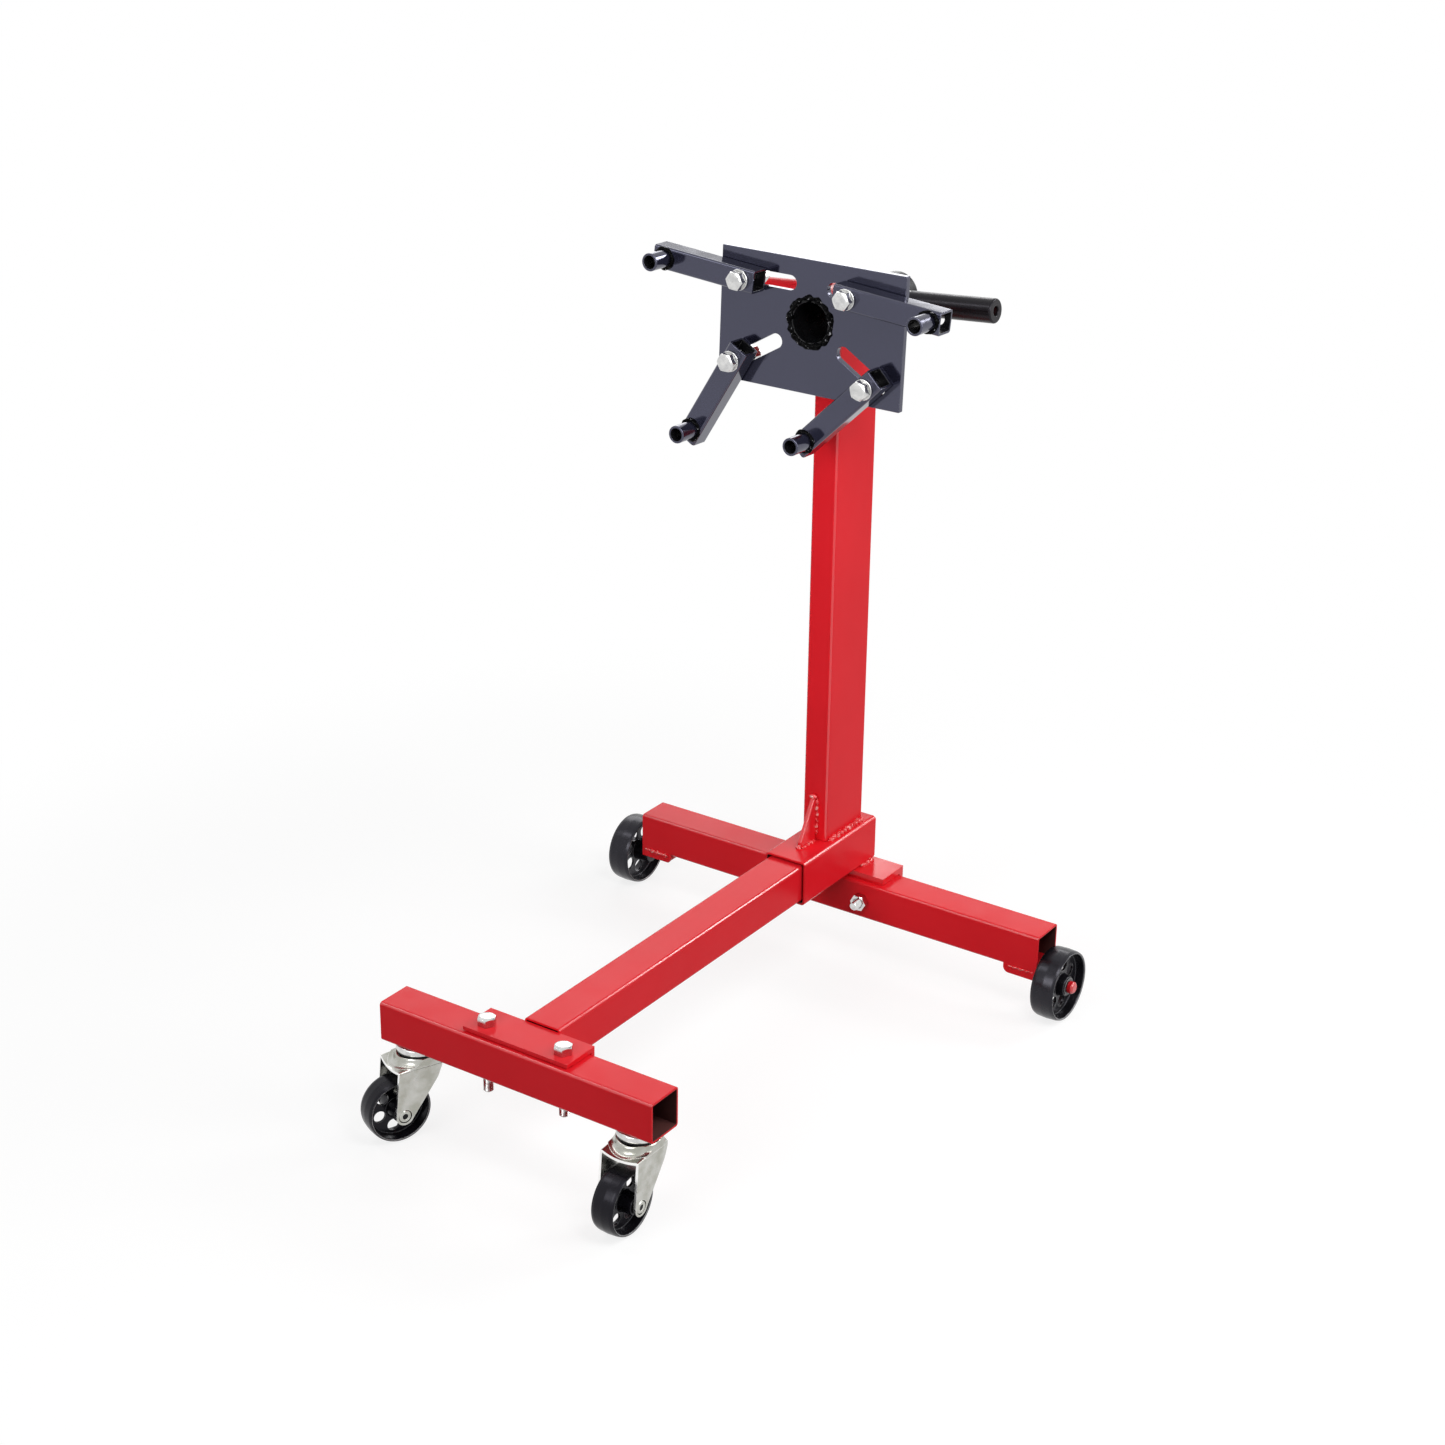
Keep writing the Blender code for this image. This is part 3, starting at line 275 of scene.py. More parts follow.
class Finish(Nodes):
    """Material in the making, with noise over the object's own coordinates."""

    def __init__(self, name, metallic, specular, tint=WHITE, ior=1.5):
        self.made = bpy.data.materials.new(name)
        super().__init__(self.made)
        self.surface = self.tree.nodes["Principled BSDF"].inputs
        self.surface["Metallic"].default_value = metallic
        self.surface["IOR"].default_value = ior
        self.surface["Specular IOR Level"].default_value = specular
        self.surface["Specular Tint"].default_value = (*tint, 1)
        self.where = self.add("TexCoord").outputs["Object"]

    def grain(self, scale, detail):
        return self.add("TexNoise", self.where, Scale=scale, Detail=detail)

    def spread(self, scale, detail, low, high):
        """Noise laid over a range of numbers."""
        limits = {"From_Min": NOISE_LOW, "From_Max": NOISE_HIGH, "To_Min": low, "To_Max": high}
        return self.add("MapRange", self.grain(scale, detail), **limits)

    def ramp(self, scale, *stops):
        """Colours over a noise."""
        made = self.add("ValToRGB", self.grain(scale, 3))
        elements = made.color_ramp.elements
        while len(elements) < len(stops):
            elements.new(0.5)
        for element, (place, colour) in zip(elements, stops):
            element.position = place
            element.color = (*colour, 1)
        return made

    def edges(self, width):
        """About 1 along convex edges, broken up by a noise, and 0 on flats."""
        bevel = self.add("Bevel", Radius=width)
        bevel.samples = 4
        straight = self.add("NewGeometry").outputs["Normal"]
        dot = self.add("VectorMath", bevel, straight, operation="DOT_PRODUCT")
        bent = self.add("MapRange", dot.outputs["Value"], From_Min=FLAT, From_Max=ON_EDGE)
        return self.add("Math", bent, self.spread(WEAR_AND_HIGHLIGHT_GRAIN, 4, 0.0, 1.0), operation="MULTIPLY")

    def coloured(self, tones, worn, width, amount, patch=PATCH_GRAIN):
        """Base colour: two tones in soft patches, and a third along edges that stands for wear and, on
        several finishes, a painted highlight.
        """
        edge_highlight_and_wear = self.add("Math", self.edges(width), operation="MULTIPLY")
        edge_highlight_and_wear.inputs[1].default_value = amount
        mix = self.add("Mix")
        mix.data_type = "RGBA"
        mix.clamp_factor = True
        mix.inputs["B"].default_value = (*worn, 1)
        self.link(edge_highlight_and_wear, mix.inputs["Factor"])
        self.link(self.ramp(patch, (0.35, tones[0]), (0.65, tones[1])), mix.inputs["A"])
        self.link(mix.outputs["Result"], self.surface["Base Color"])

    def flecked(self, scale, *stops):
        """Base colour in flecks of a noise."""
        self.link(self.ramp(scale, *stops), self.surface["Base Color"])

    def roughened(self, scale, detail, low, high):
        self.link(self.spread(scale, detail, low, high), self.surface["Roughness"])

    def bumped(self, *layers):
        """Bump in layers of noise scale, detail, strength and distance; gives the material."""
        normal = None
        for scale, detail, strength, distance in layers:
            bump = self.add("Bump", Strength=strength, Distance=distance)
            self.link(self.grain(scale, detail), bump.inputs["Height"])
            if normal is not None:
                self.link(normal, bump.inputs["Normal"])
            normal = bump
        self.link(normal, self.surface["Normal"])
        return self.made


def red_paint(name, specular):
    """Powder coat with a faint orange peel."""
    coat = Finish(name, 0.0, specular)
    # Its lighter, pinker edge tone is partly wear and partly a painted highlight.
    coat.coloured(RED_TONES, (0.80, 0.09, 0.085), 0.0011, 0.5)
    coat.roughened(30, 4, 0.18, 0.27)
    return coat.bumped((420, 2, 0.05, 0.0004), (24, 2, 0.05, 0.003))


def red_edge():
    """The same coat on the rounded corners of tubes, glossier so that they catch the lamps as highlight
    lines; its lighter edge tone is partly wear and partly a painted highlight.
    """
    coat = Finish("red_corner_gloss", 0.0, 0.5, WHITE, 1.75)
    coat.coloured(RED_TONES, (0.78, 0.06, 0.06), 0.0011, 0.4)
    coat.roughened(40, 4, 0.14, 0.24)
    return coat.bumped((60, 3, 0.10, 0.0015))


def red_weld():
    """Glossy paint over weld metal; its lighter pink flecks are painted highlights."""
    coat = Finish("red_weld", 0.0, 0.7)
    coat.flecked(190, (0.42, RED_TONES[0]), (0.56, RED_TONES[1]), (0.66, (0.86, 0.40, 0.36)))
    coat.roughened(150, 4, 0.10, 0.22)
    return coat.bumped((420, 3, 0.25, 0.0006), (160, 2, 0.30, 0.0016))


def black_paint():
    """Smooth black gloss coat of the plate and the arms."""
    coat = Finish("black_powder_coat", 0.0, 0.5, (0.72, 0.73, 1.0), 1.9)
    tones = ((0.007, 0.007, 0.014), (0.011, 0.011, 0.021))
    coat.coloured(tones, (0.20, 0.20, 0.23), 0.0010, 0.8)
    coat.roughened(40, 4, 0.07, 0.14)
    return coat.bumped((380, 2, 0.03, 0.0004), (30, 2, 0.03, 0.003))


def black_weld():
    """Dark, lumpy weld metal under thin black paint; its few bright grey flecks are painted glints."""
    coat = Finish("black_weld", 0.0, 0.03)
    dark = (0.0008, 0.0008, 0.0010)
    grey = (0.0024, 0.0024, 0.0030)
    coat.flecked(240, (0.40, dark), (0.64, grey), (0.72, (0.34, 0.34, 0.36)))
    coat.roughened(120, 4, 0.10, 0.28)
    return coat.bumped((520, 3, 0.35, 0.0006), (170, 2, 0.45, 0.0018))


def dull_black():
    """Thin black coat of the turning spindle."""
    coat = Finish("black_spindle", 0.0, 0.16)
    tones = ((0.006, 0.006, 0.007), (0.010, 0.010, 0.012))
    coat.coloured(tones, (0.12, 0.12, 0.13), 0.0010, 0.7)
    coat.roughened(60, 4, 0.22, 0.36)
    return coat.bumped((260, 3, 0.10, 0.0005))


def dark_inside():
    """Darker, duller brown-red on the inner faces of tubes."""
    steel = Finish("bare_tube_inside", 0.0, 0.08)
    tones = ((0.075, 0.028, 0.026), (0.125, 0.044, 0.040))
    steel.coloured(tones, (0.09, 0.035, 0.03), 0.0010, 0.5)
    steel.roughened(60, 5, 0.45, 0.70)
    return steel.bumped((240, 4, 0.20, 0.0005))


def zinc_steel():
    """Bright zinc plate of bolts and nuts."""
    zinc = Finish("bright_zinc", 1.0, 0.5)
    tones = ((0.56, 0.56, 0.56), (0.70, 0.70, 0.69))
    zinc.coloured(tones, (0.92, 0.92, 0.91), 0.0006, 0.6, 160)
    zinc.roughened(120, 4, 0.13, 0.22)
    return zinc.bumped((500, 2, 0.04, 0.0003))


def zinc_sheet():
    """Duller zinc of the pressed caster forks, clouded and a little yellow; its near-white edge tone is
    partly wear and mostly a painted highlight on the bends.
    """
    zinc = Finish("pressed_zinc", 1.0, 0.5)
    tones = ((0.39, 0.39, 0.345), (0.53, 0.53, 0.50))
    zinc.coloured(tones, (0.95, 0.95, 0.94), 0.0012, 0.9, 60)
    zinc.roughened(45, 4, 0.14, 0.28)
    return zinc.bumped((90, 3, 0.06, 0.0010))


def zinc_edge_highlight():
    """Painted highlight on the front edges of the pressed forks: near-white zinc."""
    zinc = Finish("zinc_edge_highlight", 1.0, 0.5)
    tones = ((0.84, 0.84, 0.83), (0.95, 0.95, 0.94))
    zinc.coloured(tones, (0.97, 0.97, 0.97), 0.0006, 0.5, 80)
    zinc.roughened(90, 4, 0.14, 0.26)
    return zinc.bumped((400, 2, 0.05, 0.0003))


def cast_black(name, sheen):
    """Enamelled cast wheel: fine grain with a soft sheen."""
    coat = Finish(name, 0.0, sheen, (0.88, 0.86, 1.0))
    tones = ((0.004, 0.0038, 0.005), (0.007, 0.0065, 0.009))
    # Its grey edge tone is a painted highlight along the lips and edges of the wheels.
    coat.coloured(tones, (0.40, 0.40, 0.40), 0.0012, 0.9)
    coat.roughened(60, 5, 0.20, 0.30)
    return coat.bumped((260, 4, 0.14, 0.0005), (40, 3, 0.10, 0.002))


def rim_highlight():
    """Painted highlight on the lips of the wheels and the washers' rims: a lighter grey coat."""
    coat = Finish("rim_highlight", 0.0, 0.5)
    tones = ((0.14, 0.14, 0.145), (0.30, 0.30, 0.31))
    coat.coloured(tones, (0.5, 0.5, 0.5), 0.0008, 0.6, 60)
    coat.roughened(60, 4, 0.22, 0.34)
    return coat.bumped((300, 3, 0.10, 0.0004))


def grip_rubber():
    """Dipped black grip with a dull sheen."""
    vinyl = Finish("grip_vinyl", 0.0, 0.22, (0.90, 0.86, 1.0))
    tones = ((0.006, 0.006, 0.007), (0.010, 0.009, 0.010))
    vinyl.coloured(tones, (0.06, 0.06, 0.06), 0.0012, 0.5)
    vinyl.roughened(50, 4, 0.22, 0.34)
    return vinyl.bumped((500, 3, 0.10, 0.0004))


MATERIALS = {
    "red": (red_paint("red_powder_coat", 0.070), "red_paint"),
    "red_gloss": (red_paint("red_gloss_coat", 0.30), "red_paint"),
    "red_edge": (red_edge(), "red_paint"),
    "weld_red": (red_weld(), "red_paint"),
    "black": (black_paint(), "black_paint"),
    "weld": (black_weld(), "black_paint"),
    "dull": (dull_black(), "black_paint"),
    "zinc": (zinc_steel(), "zinc_steel"),
    "sheet": (zinc_sheet(), "zinc_steel"),
    "bright": (zinc_edge_highlight(), "zinc_steel"),
    "cast": (cast_black("black_enamel", 0.36), "cast_black"),
    "caster": (cast_black("black_caster_enamel", 0.20), "cast_black"),
    "rim": (rim_highlight(), "cast_black"),
    "rubber": (grip_rubber(), "grip_rubber"),
    "inside": (dark_inside(), "red_paint"),
}


# Outlines
def arc(centre_x, centre_y, radius, start, stop, steps):
    """Points along an arc, both ends included."""
    points = []
    for i in range(steps + 1):
        angle = start + (stop - start) * i / steps
        points.append((centre_x + radius * cos(angle), centre_y + radius * sin(angle)))
    return points


def circle(radius, steps, start=0.0):
    return arc(0, 0, radius, start, start + 2 * pi * (steps - 1) / steps, steps - 1)


def ring(inner, outer, low, high):
    """Closed profile of a plain ring."""
    return [(inner, low), (outer, low), (outer, high), (inner, high)]


def rounded_rectangle(width, height, radius, steps=8):
    points = []
    for quarter, (sx, sy) in enumerate(((1, 1), (-1, 1), (-1, -1), (1, -1))):
        centre_x = sx * (width / 2 - radius)
        centre_y = sy * (height / 2 - radius)
        start = quarter * pi / 2
        points += arc(centre_x, centre_y, radius, start, start + pi / 2, steps)
    return points


def stadium(start, end, radius, steps=16):
    """Slot outline between two centres."""
    angle = atan2(end[1] - start[1], end[0] - start[0])
    far = arc(*end, radius, angle - pi / 2, angle + pi / 2, steps)
    near = arc(*start, radius, angle + pi / 2, angle + 3 * pi / 2, steps)
    return far + near


def soften(points, radius, closed, steps=4):
    """Rounds an outline's corners, each over less than half of a short side."""
    share = 0.45
    rounded = []
    for i, (x, y) in enumerate(points):
        here = Vector((x, y))
        if not closed and i in (0, len(points) - 1):
            rounded.append((x, y))
            continue
        before = Vector(points[i - 1]) - here
        after = Vector(points[(i + 1) % len(points)]) - here
        start = here + before.normalized() * min(radius, before.length * share)
        end = here + after.normalized() * min(radius, after.length * share)
        for k in range(steps + 1):
            t = k / steps
            point = start * (1 - t) ** 2 + here * 2 * t * (1 - t) + end * t**2
            rounded.append((point.x, point.y))
    return rounded


def smooth(t):
    """Smooth step from 0 to 1."""
    t = min(1.0, max(0.0, t))
    return t * t * (3 - 2 * t)


# Meshes
SAME_SPOT = 1e-6  # distance at which two points are one


def baked(holder):
    """Mesh of a helper object with its modifiers on; the helper is removed."""
    bpy.context.view_layer.update()
    seen = holder.evaluated_get(bpy.context.evaluated_depsgraph_get())
    mesh = bpy.data.meshes.new_from_object(seen)
    mesh.name = holder.name
    bpy.data.objects.remove(holder)
    work = bmesh.new()
    work.from_mesh(mesh)
    bmesh.ops.remove_doubles(work, verts=work.verts, dist=SAME_SPOT)
    bmesh.ops.recalc_face_normals(work, faces=work.faces)
    work.to_mesh(mesh)
    work.free()
    return mesh


def slab(name, loops, depth, edge=SHEET_EDGE):
    """Solid from flat outlines, the first outside and the rest holes, with rounded rims."""
    curve = bpy.data.curves.new(name, "CURVE")
    curve.dimensions = "2D"
    curve.fill_mode = "BOTH"
    curve.bevel_depth = edge
    curve.bevel_resolution = 2
    curve.offset = -edge
    curve.extrude = depth / 2 - edge
    for loop in loops:
        spline = curve.splines.new("POLY")
        spline.points.add(len(loop) - 1)
        for point, (x, y) in zip(spline.points, loop):
            point.co = (x, y, 0, 1)
        spline.use_cyclic_u = True
    return baked(shown(name, curve))


def turned(name, profile, steps=64, rounding=SHEET_EDGE):
    """Turned about z from (radius, height) points: closed, or open if they start on the axis."""
    closed = profile[0][0] > 0
    if rounding:
        profile = soften(profile, rounding, closed)
    work = bmesh.new()
    chain = [work.verts.new((radius, 0, height)) for radius, height in profile]
    for one, other in zip(chain, chain[1:]):
        work.edges.new((one, other))
    if closed:
        work.edges.new((chain[-1], chain[0]))
    holder = shown(name, finished(name + "_profile", work))
    screw = holder.modifiers.new("turn", "SCREW")
    screw.steps = steps
    screw.render_steps = steps
    screw.use_merge_vertices = True
    screw.merge_threshold = SAME_SPOT
    return baked(holder)


def skin(name, rows, closed):
    """Mesh over loops of points: closed into a ring, else with a cap at both ends."""
    work = bmesh.new()
    loops = [[work.verts.new(point) for point in row] for row in rows]
    pairs = list(zip(loops, loops[1:]))
    if closed:
        pairs.append((loops[-1], loops[0]))
    else:
        work.faces.new(loops[0])
        work.faces.new(loops[-1])
    for below, above in pairs:
        for i in range(len(below)):
            j = (i + 1) % len(below)
            work.faces.new((below[i], below[j], above[j], above[i]))
    bmesh.ops.recalc_face_normals(work, faces=work.faces)
    return finished(name, work)


def rods(name, radius, length, centres=((0, 0),), steps=32):
    """Round cutters along z."""
    work = bmesh.new()
    sizes = {"segments": steps, "radius1": radius, "radius2": radius, "depth": length}
    for x, y in centres:
        bmesh.ops.create_cone(work, cap_ends=True, matrix=at(x, y, 0), **sizes)
    return finished(name, work)


def cut(mesh, tools, operation="DIFFERENCE"):
    """Boolean of a mesh with (tool mesh, place) pairs."""
    holder = shown(mesh.name, mesh)
    helpers = []
    for tool_mesh, where in tools:
        tool = shown("tool", tool_mesh)
        tool.matrix_world = where
        step = holder.modifiers.new("cut", "BOOLEAN")
        step.operation = operation
        step.solver = "EXACT"
        step.object = tool
        helpers.append(tool)
    made = baked(holder)
    for tool in helpers:
        bpy.data.objects.remove(tool)
    return made


def merged(name, parts):
    """One mesh from (mesh, place) pairs."""
    work = bmesh.new()
    for mesh, where in parts:
        shifted = mesh.copy()
        shifted.transform(where)
        work.from_mesh(shifted)
    return finished(name, work)


def square_tube(name, width, height, length, corner):
    """Hollow tube along z."""
    inside_corner = max(corner - TUBE_WALL, corner / 4)
    outside = rounded_rectangle(width, height, corner)
    inside = rounded_rectangle(width - 2 * TUBE_WALL, height - 2 * TUBE_WALL, inside_corner)
    return slab(name, [outside, inside], length)


# Pieces and the faces on them that get a finish of their own
INWARD = -0.3  # cosine to the way out from the axis
ROUNDED = 0.32  # both parts of a normal on a tube's corner are larger
AHEAD = -0.75  # how far a fork's front edges look ahead, and where they start
FORK_EDGES = -0.031


def looks_inward(face):
    """True of the faces that look at the mesh's own z axis."""
    outward = Vector((face.center.x, face.center.y, 0))
    return outward.length > SAME_SPOT and face.normal.dot(outward.normalized()) < INWARD


def on_corner(face):
    """True of the outer faces on the rounded corners of a square tube along z."""
    return min(abs(face.normal.x), abs(face.normal.y)) > ROUNDED and not looks_inward(face)


def faces_ahead(face):
    """True of the front edges of a caster fork."""
    return face.normal.y < AHEAD and face.center.y < FORK_EDGES


def on_ring(inner, outer, beyond):
    """Test for faces between two radii and further out along the axis than a height."""

    def belongs(face):
        radius = hypot(face.center.x, face.center.y)
        return inner < radius < outer and abs(face.center.z) > beyond

    return belongs


BORE_PATCHES = (("dull", looks_inward),)
TUBE_PATCHES = (("inside", looks_inward), ("red_edge", on_corner))
# The forks' front edges get a painted highlight.
FORK_PATCHES = (("bright", faces_ahead),)


def place(mesh, where, finish, body, sharp=SHARP, patches=()):
    """Piece named as its mesh on a body, with its finish; NODE_fine stands for that CAD node.

    Patches are (finish, test) pairs: faces that pass a test, in the mesh's own axes, get that finish.
    """
    name = mesh.name.split(".")[0]
    main, slot_name = MATERIALS[finish]
    mesh.materials.clear()
    mesh.materials.append(main)
    mesh.polygons.foreach_set("material_index", [0] * len(mesh.polygons))
    for patch, belongs in patches:
        mesh.materials.append(MATERIALS[patch][0])
        for face in mesh.polygons:
            if belongs(face):
                face.material_index = len(mesh.materials) - 1
    mesh.transform(where)
    mesh.polygons.foreach_set("use_smooth", [True] * len(mesh.polygons))
    mesh.set_sharp_from_angle(angle=sharp)
    made = shown(name, mesh)
    flat = made.modifiers.new("flat_faces", "WEIGHTED_NORMAL")
    flat.keep_sharp = True
    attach(made, body)
    stands_for = name.replace("_fine", "")
    if stands_for in frame["nodes"]:
        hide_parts(stands_for)


def lathe(name, profile, where, finish, body, patches=(), **cuts):
    """Turned piece put in its place; cuts are turned's steps and rounding."""
    place(turned(name, profile, **cuts), where, finish, body, SHARP, patches)


# Bolts, nuts and washers
HEX_STEPS = 72
CHAMFER = tan(radians(30))
CROWN_SHARE = 0.96  # flat top against the width over flats
DOME_SHARE = 0.08  # dome against the head's height
DOME_RINGS = ((0.8, 0.55), (0.45, 0.9))  # shares of the flat top's radius and the dome's height
LEAD_SHARE = 0.14  # lead of a nut's bore
HEAD_SHARE = 0.92  # hexagon against the whole head with its dome


def hexagon(name, flats, height, bore=None):
    """Hexagon on z = 0 with turned corners: a nut if it has a bore, else a domed head."""
    half = flats / 2
    crown = half * CROWN_SHARE
    dome = height * DOME_SHARE
    turns = [2 * pi * i / HEX_STEPS for i in range(HEX_STEPS)]

    def level(radius, z):
        return [(radius * cos(angle), radius * sin(angle), z) for angle in turns]

    foot = []
    shoulder = []
    for angle in turns:
        reach = half / cos(angle % (pi / 3) - pi / 6)
        drop = max(0.0, reach - crown) * CHAMFER
        x = reach * cos(angle)
        y = reach * sin(angle)
        foot.append((x, y, drop if bore else 0.0))
        shoulder.append((x, y, height - drop))
    rows = [foot, shoulder, level(crown, height)]
    if bore:
        lead = bore * LEAD_SHARE
        rows.insert(0, level(crown, 0))
        rows += [level(bore + lead, height), level(bore, height - lead)]
        rows += [level(bore, lead), level(bore + lead, 0)]
    else:
        rows += [level(crown * out, height + dome * up) for out, up in DOME_RINGS]
    return skin(name, rows, bool(bore))


def bolt_mesh(name, radius, flats, head, length, threaded):
    """Bolt with its domed head above z = 0 and a threaded shank below."""
    profile = [(0, -length), (radius - 1.5 * THREAD_DEPTH, -length)]
    for i in range(int(threaded / THREAD_PITCH)):
        z = -length + THREAD_DEPTH + i * THREAD_PITCH
        profile.append((radius - THREAD_DEPTH, z))
        profile.append((radius, z + THREAD_PITCH / 2))
    profile += [(radius, 0), (0, 0)]
    shank = turned(name + "_shank", profile, steps=40, rounding=0)
    return merged(name, [(hexagon(name + "_head", flats, head), UPRIGHT), (shank, UPRIGHT)])


def put_bolt(cad, where, kind, body, threaded, longer=0.0):
    """Bolt with its head along the frame's z; longer is added to its stud."""
    radius, flats, head = kind
    low, high = span(cad, where)
    seat = high.z - head
    spot = where @ at((low.x + high.x) / 2, (low.y + high.y) / 2, seat)
    mesh = bolt_mesh(cad + "_fine", radius, flats, head * HEAD_SHARE, seat - low.z + longer, threaded)
    place(mesh, spot, "zinc", body, SHARP_BOLT)


def put_nut(cad, where, kind, body):
    low, high = span(cad, where)
    spot = where @ at((low.x + high.x) / 2, (low.y + high.y) / 2, low.z)
    mesh = hexagon(cad + "_fine", kind[1], high.z - low.z, kind[0] + FIT)
    place(mesh, spot, "zinc", body, SHARP_BOLT)


# Welds
RIPPLE = 0.0085  # length of one weld ripple
STATIONS = 8  # rows of points in a ripple
BEAD_SIDES = 10
SWELL_GRAIN = 160
WANDER_GRAIN = 210
WANDER_SHIFT = Vector((3, 7, 1))
STEEP = 0.9  # climb from which a bead's side isn't level
END_SIZE = 0.35  # a bead's end against its middle, and its growth from row to row
END_GROWTH = 0.2


def bead(name, points, radius, finish, body, closed=False, ragged=0.25, ripple=0.18):
    """Rippled weld bead along a path."""
    path = [Vector(point) for point in points]
    if closed:
        path.append(path[0])
    stations = []
    for one, other in zip(path, path[1:]):
        count = max(2, int((other - one).length / (RIPPLE / STATIONS)))
        stations += [one.lerp(other, i / count) for i in range(count)]
    if not closed:
        stations.append(path[-1])
    rows = []
    total = len(stations)
    run = 0.0
    for i, here in enumerate(stations):
        ahead = stations[(i + 1) % total] if closed or i + 1 < total else here
        behind = stations[i - 1] if closed or i else here
        run += (here - behind).length
        along = (ahead - behind).normalized()
        side = along.orthogonal().normalized()
        if abs(along.z) < STEEP:
            side = along.cross(Vector((0, 0, 1))).normalized()
        other_side = along.cross(side)
        swell = 1 - ripple + ripple * abs(sin(pi * run / RIPPLE))
        swell *= 1 + ragged * noise.noise(here * SWELL_GRAIN)
        if not closed:
            swell *= min(1.0, END_SIZE + END_GROWTH * min(i, total - 1 - i))
        wander = side * noise.noise(here * WANDER_GRAIN + WANDER_SHIFT) * radius * ragged
        row = []
        for k in range(BEAD_SIDES):
            angle = 2 * pi * k / BEAD_SIDES
            offset = side * cos(angle) + other_side * sin(angle)
            row.append(here + wander + offset * radius * swell)
        rows.append(row)
    place(skin(name, rows, closed), UPRIGHT, finish, body, SHARP_WELD)


def red_bead(name, start, end, radius, ragged=0.5, ripple=0.6):
    bead(name, [start, end], radius, "weld_red", "frame", False, ragged, ripple)


def bead_ring(name, where, height, ring_radius, steps, radius, body, **looks):
    """Black bead round a frame's z axis; looks are bead's ragged and ripple."""
    points = [where @ Vector((x, y, height)) for x, y in circle(ring_radius, steps)]
    bead(name, points, radius, "weld", body, True, **looks)


# Base: beams, angles, post, gusset, bolts and brackets
def make_beams():
    lays = {"rear_beam": LYING, "front_beam": LYING, "centre_beam": FACING, "base_sleeve": FACING}
    for cad, lay in lays.items():
        low, high = span(cad, lay)
        corner = SLEEVE_CORNER if cad == "base_sleeve" else TUBE_CORNER
        mesh = square_tube(cad + "_fine", *(high - low), corner)
        where = lay @ at(*((low + high) / 2))
        place(mesh, where, "red", "frame", patches=TUBE_PATCHES)


def make_angles():
    """Saddle over the rear beam and angle on the front beam, both bent from flat bar."""
    bars = {"saddle_angle": (0.009, FINE, "red_gloss"), "front_angle": (0.006, 0.0013, "red")}
    reach = 0.010
    for cad, (sheet, gap, finish) in bars.items():
        low, high = span(cad, LYING)
        under = high.y - sheet
        outline = [(low.x, under + gap), (low.x + reach, under + gap), (low.x + reach, under)]
        outline += [(high.x - sheet, under), (high.x - sheet, low.y), (high.x, low.y)]
        outline += [(high.x, high.y), (low.x, high.y)]
        mesh = slab(cad + "_fine", [outline], high.z - low.z, edge=0.0005)
        where = LYING @ at(0, 0, (low.z + high.z) / 2)
        place(mesh, where, finish, "frame")


def make_post():
    """Post, coped to the housing at its top."""
    low, high = span("post")
    mesh = square_tube("post_fine", *(high - low), TUBE_CORNER)
    housing_low, housing_high = span("pivot_housing", HEAD)
    cope = (housing_high.y - housing_low.y) / 2 + FIT
    middle = at(*((low + high) / 2))
    tool = rods("post_cope", cope, 1.0, steps=96)
    mesh = cut(mesh, [(tool, middle.inverted() @ HEAD)])
    place(mesh, middle, "red", "frame", patches=TUBE_PATCHES)


def make_gusset():
    low, high = span("post_gusset", LYING)
    lip = 0.008
    outline = [(low.x, low.y), (high.x, low.y), (high.x, high.y)]
    outline += [(high.x - lip / 2, high.y), (low.x, low.y + lip)]
    outline = soften(outline, 0.0015, True)
    mesh = slab("post_gusset_fine", [outline], high.z - low.z, edge=0.0012)
    place(mesh, LYING, "red_edge", "frame")


def make_base_bolts():
    for side, longer in (("left", 0.0), ("right", -0.006)):
        put_bolt("front_bolt_" + side, UPRIGHT, BASE_BOLT, "frame", threaded=0.040, longer=longer)
        put_nut("front_nut_" + side, UPRIGHT, BASE_BOLT, "frame")
        put_bolt("saddle_bolt_" + side, REARWARD, BASE_BOLT, "frame", threaded=0.032, longer=0.004)
        put_nut("saddle_nut_" + side, FACING, BASE_BOLT, "frame")


def make_brackets():
    """Blocks under the beam's ends, let into its rounding so that no step shows."""
    corner = 0.008
    let_in = TUBE_CORNER + FIT
    inset = 0.0001
    for side, sign in SIDES:
        cad = "axle_bracket_" + side
        low, high = span(cad, FACING)
        inner, outer = (low.x, high.x) if sign > 0 else (high.x, low.x)
        start, stop = (pi, 1.5 * pi) if sign > 0 else (0, -pi / 2)
        end = outer - sign * inset
        top = high.y + let_in
        bend = arc(inner + sign * corner, low.y + corner, corner, start, stop, 8)
        outline = [(end, top), (inner, top), *bend, (end, low.y)]
        mesh = slab(cad + "_fine", [outline], high.z - low.z - 2 * inset)
        where = FACING @ at(0, 0, (low.z + high.z) / 2)
        place(mesh, where, "red", "frame")


# Wheels
RIM_WALL = 0.0044
RIM_LIP = 0.0012
RIM_ROOT = 0.0018  # how much the web's edge lies inside the rim
WEB_HALF = 0.0016
HUB_FLARE = 0.002
SHOULDER = 0.0040
TREAD_CROWN = 0.0007
REAR_AXLE = 0.007
REAR_HUB = 0.0128
REAR_WEB = 0.002  # web off the wheel's middle
REAR_HOLES = (7, 0.0086, 0.0262)  # number, radius and pitch radius
REAR_FIRST_HOLE = {"left": radians(119), "right": radians(75)}
AXLE_HEAD = 0.0080
AXLE_WASHER = 0.0112
WASHER_THICKNESS = 0.0016


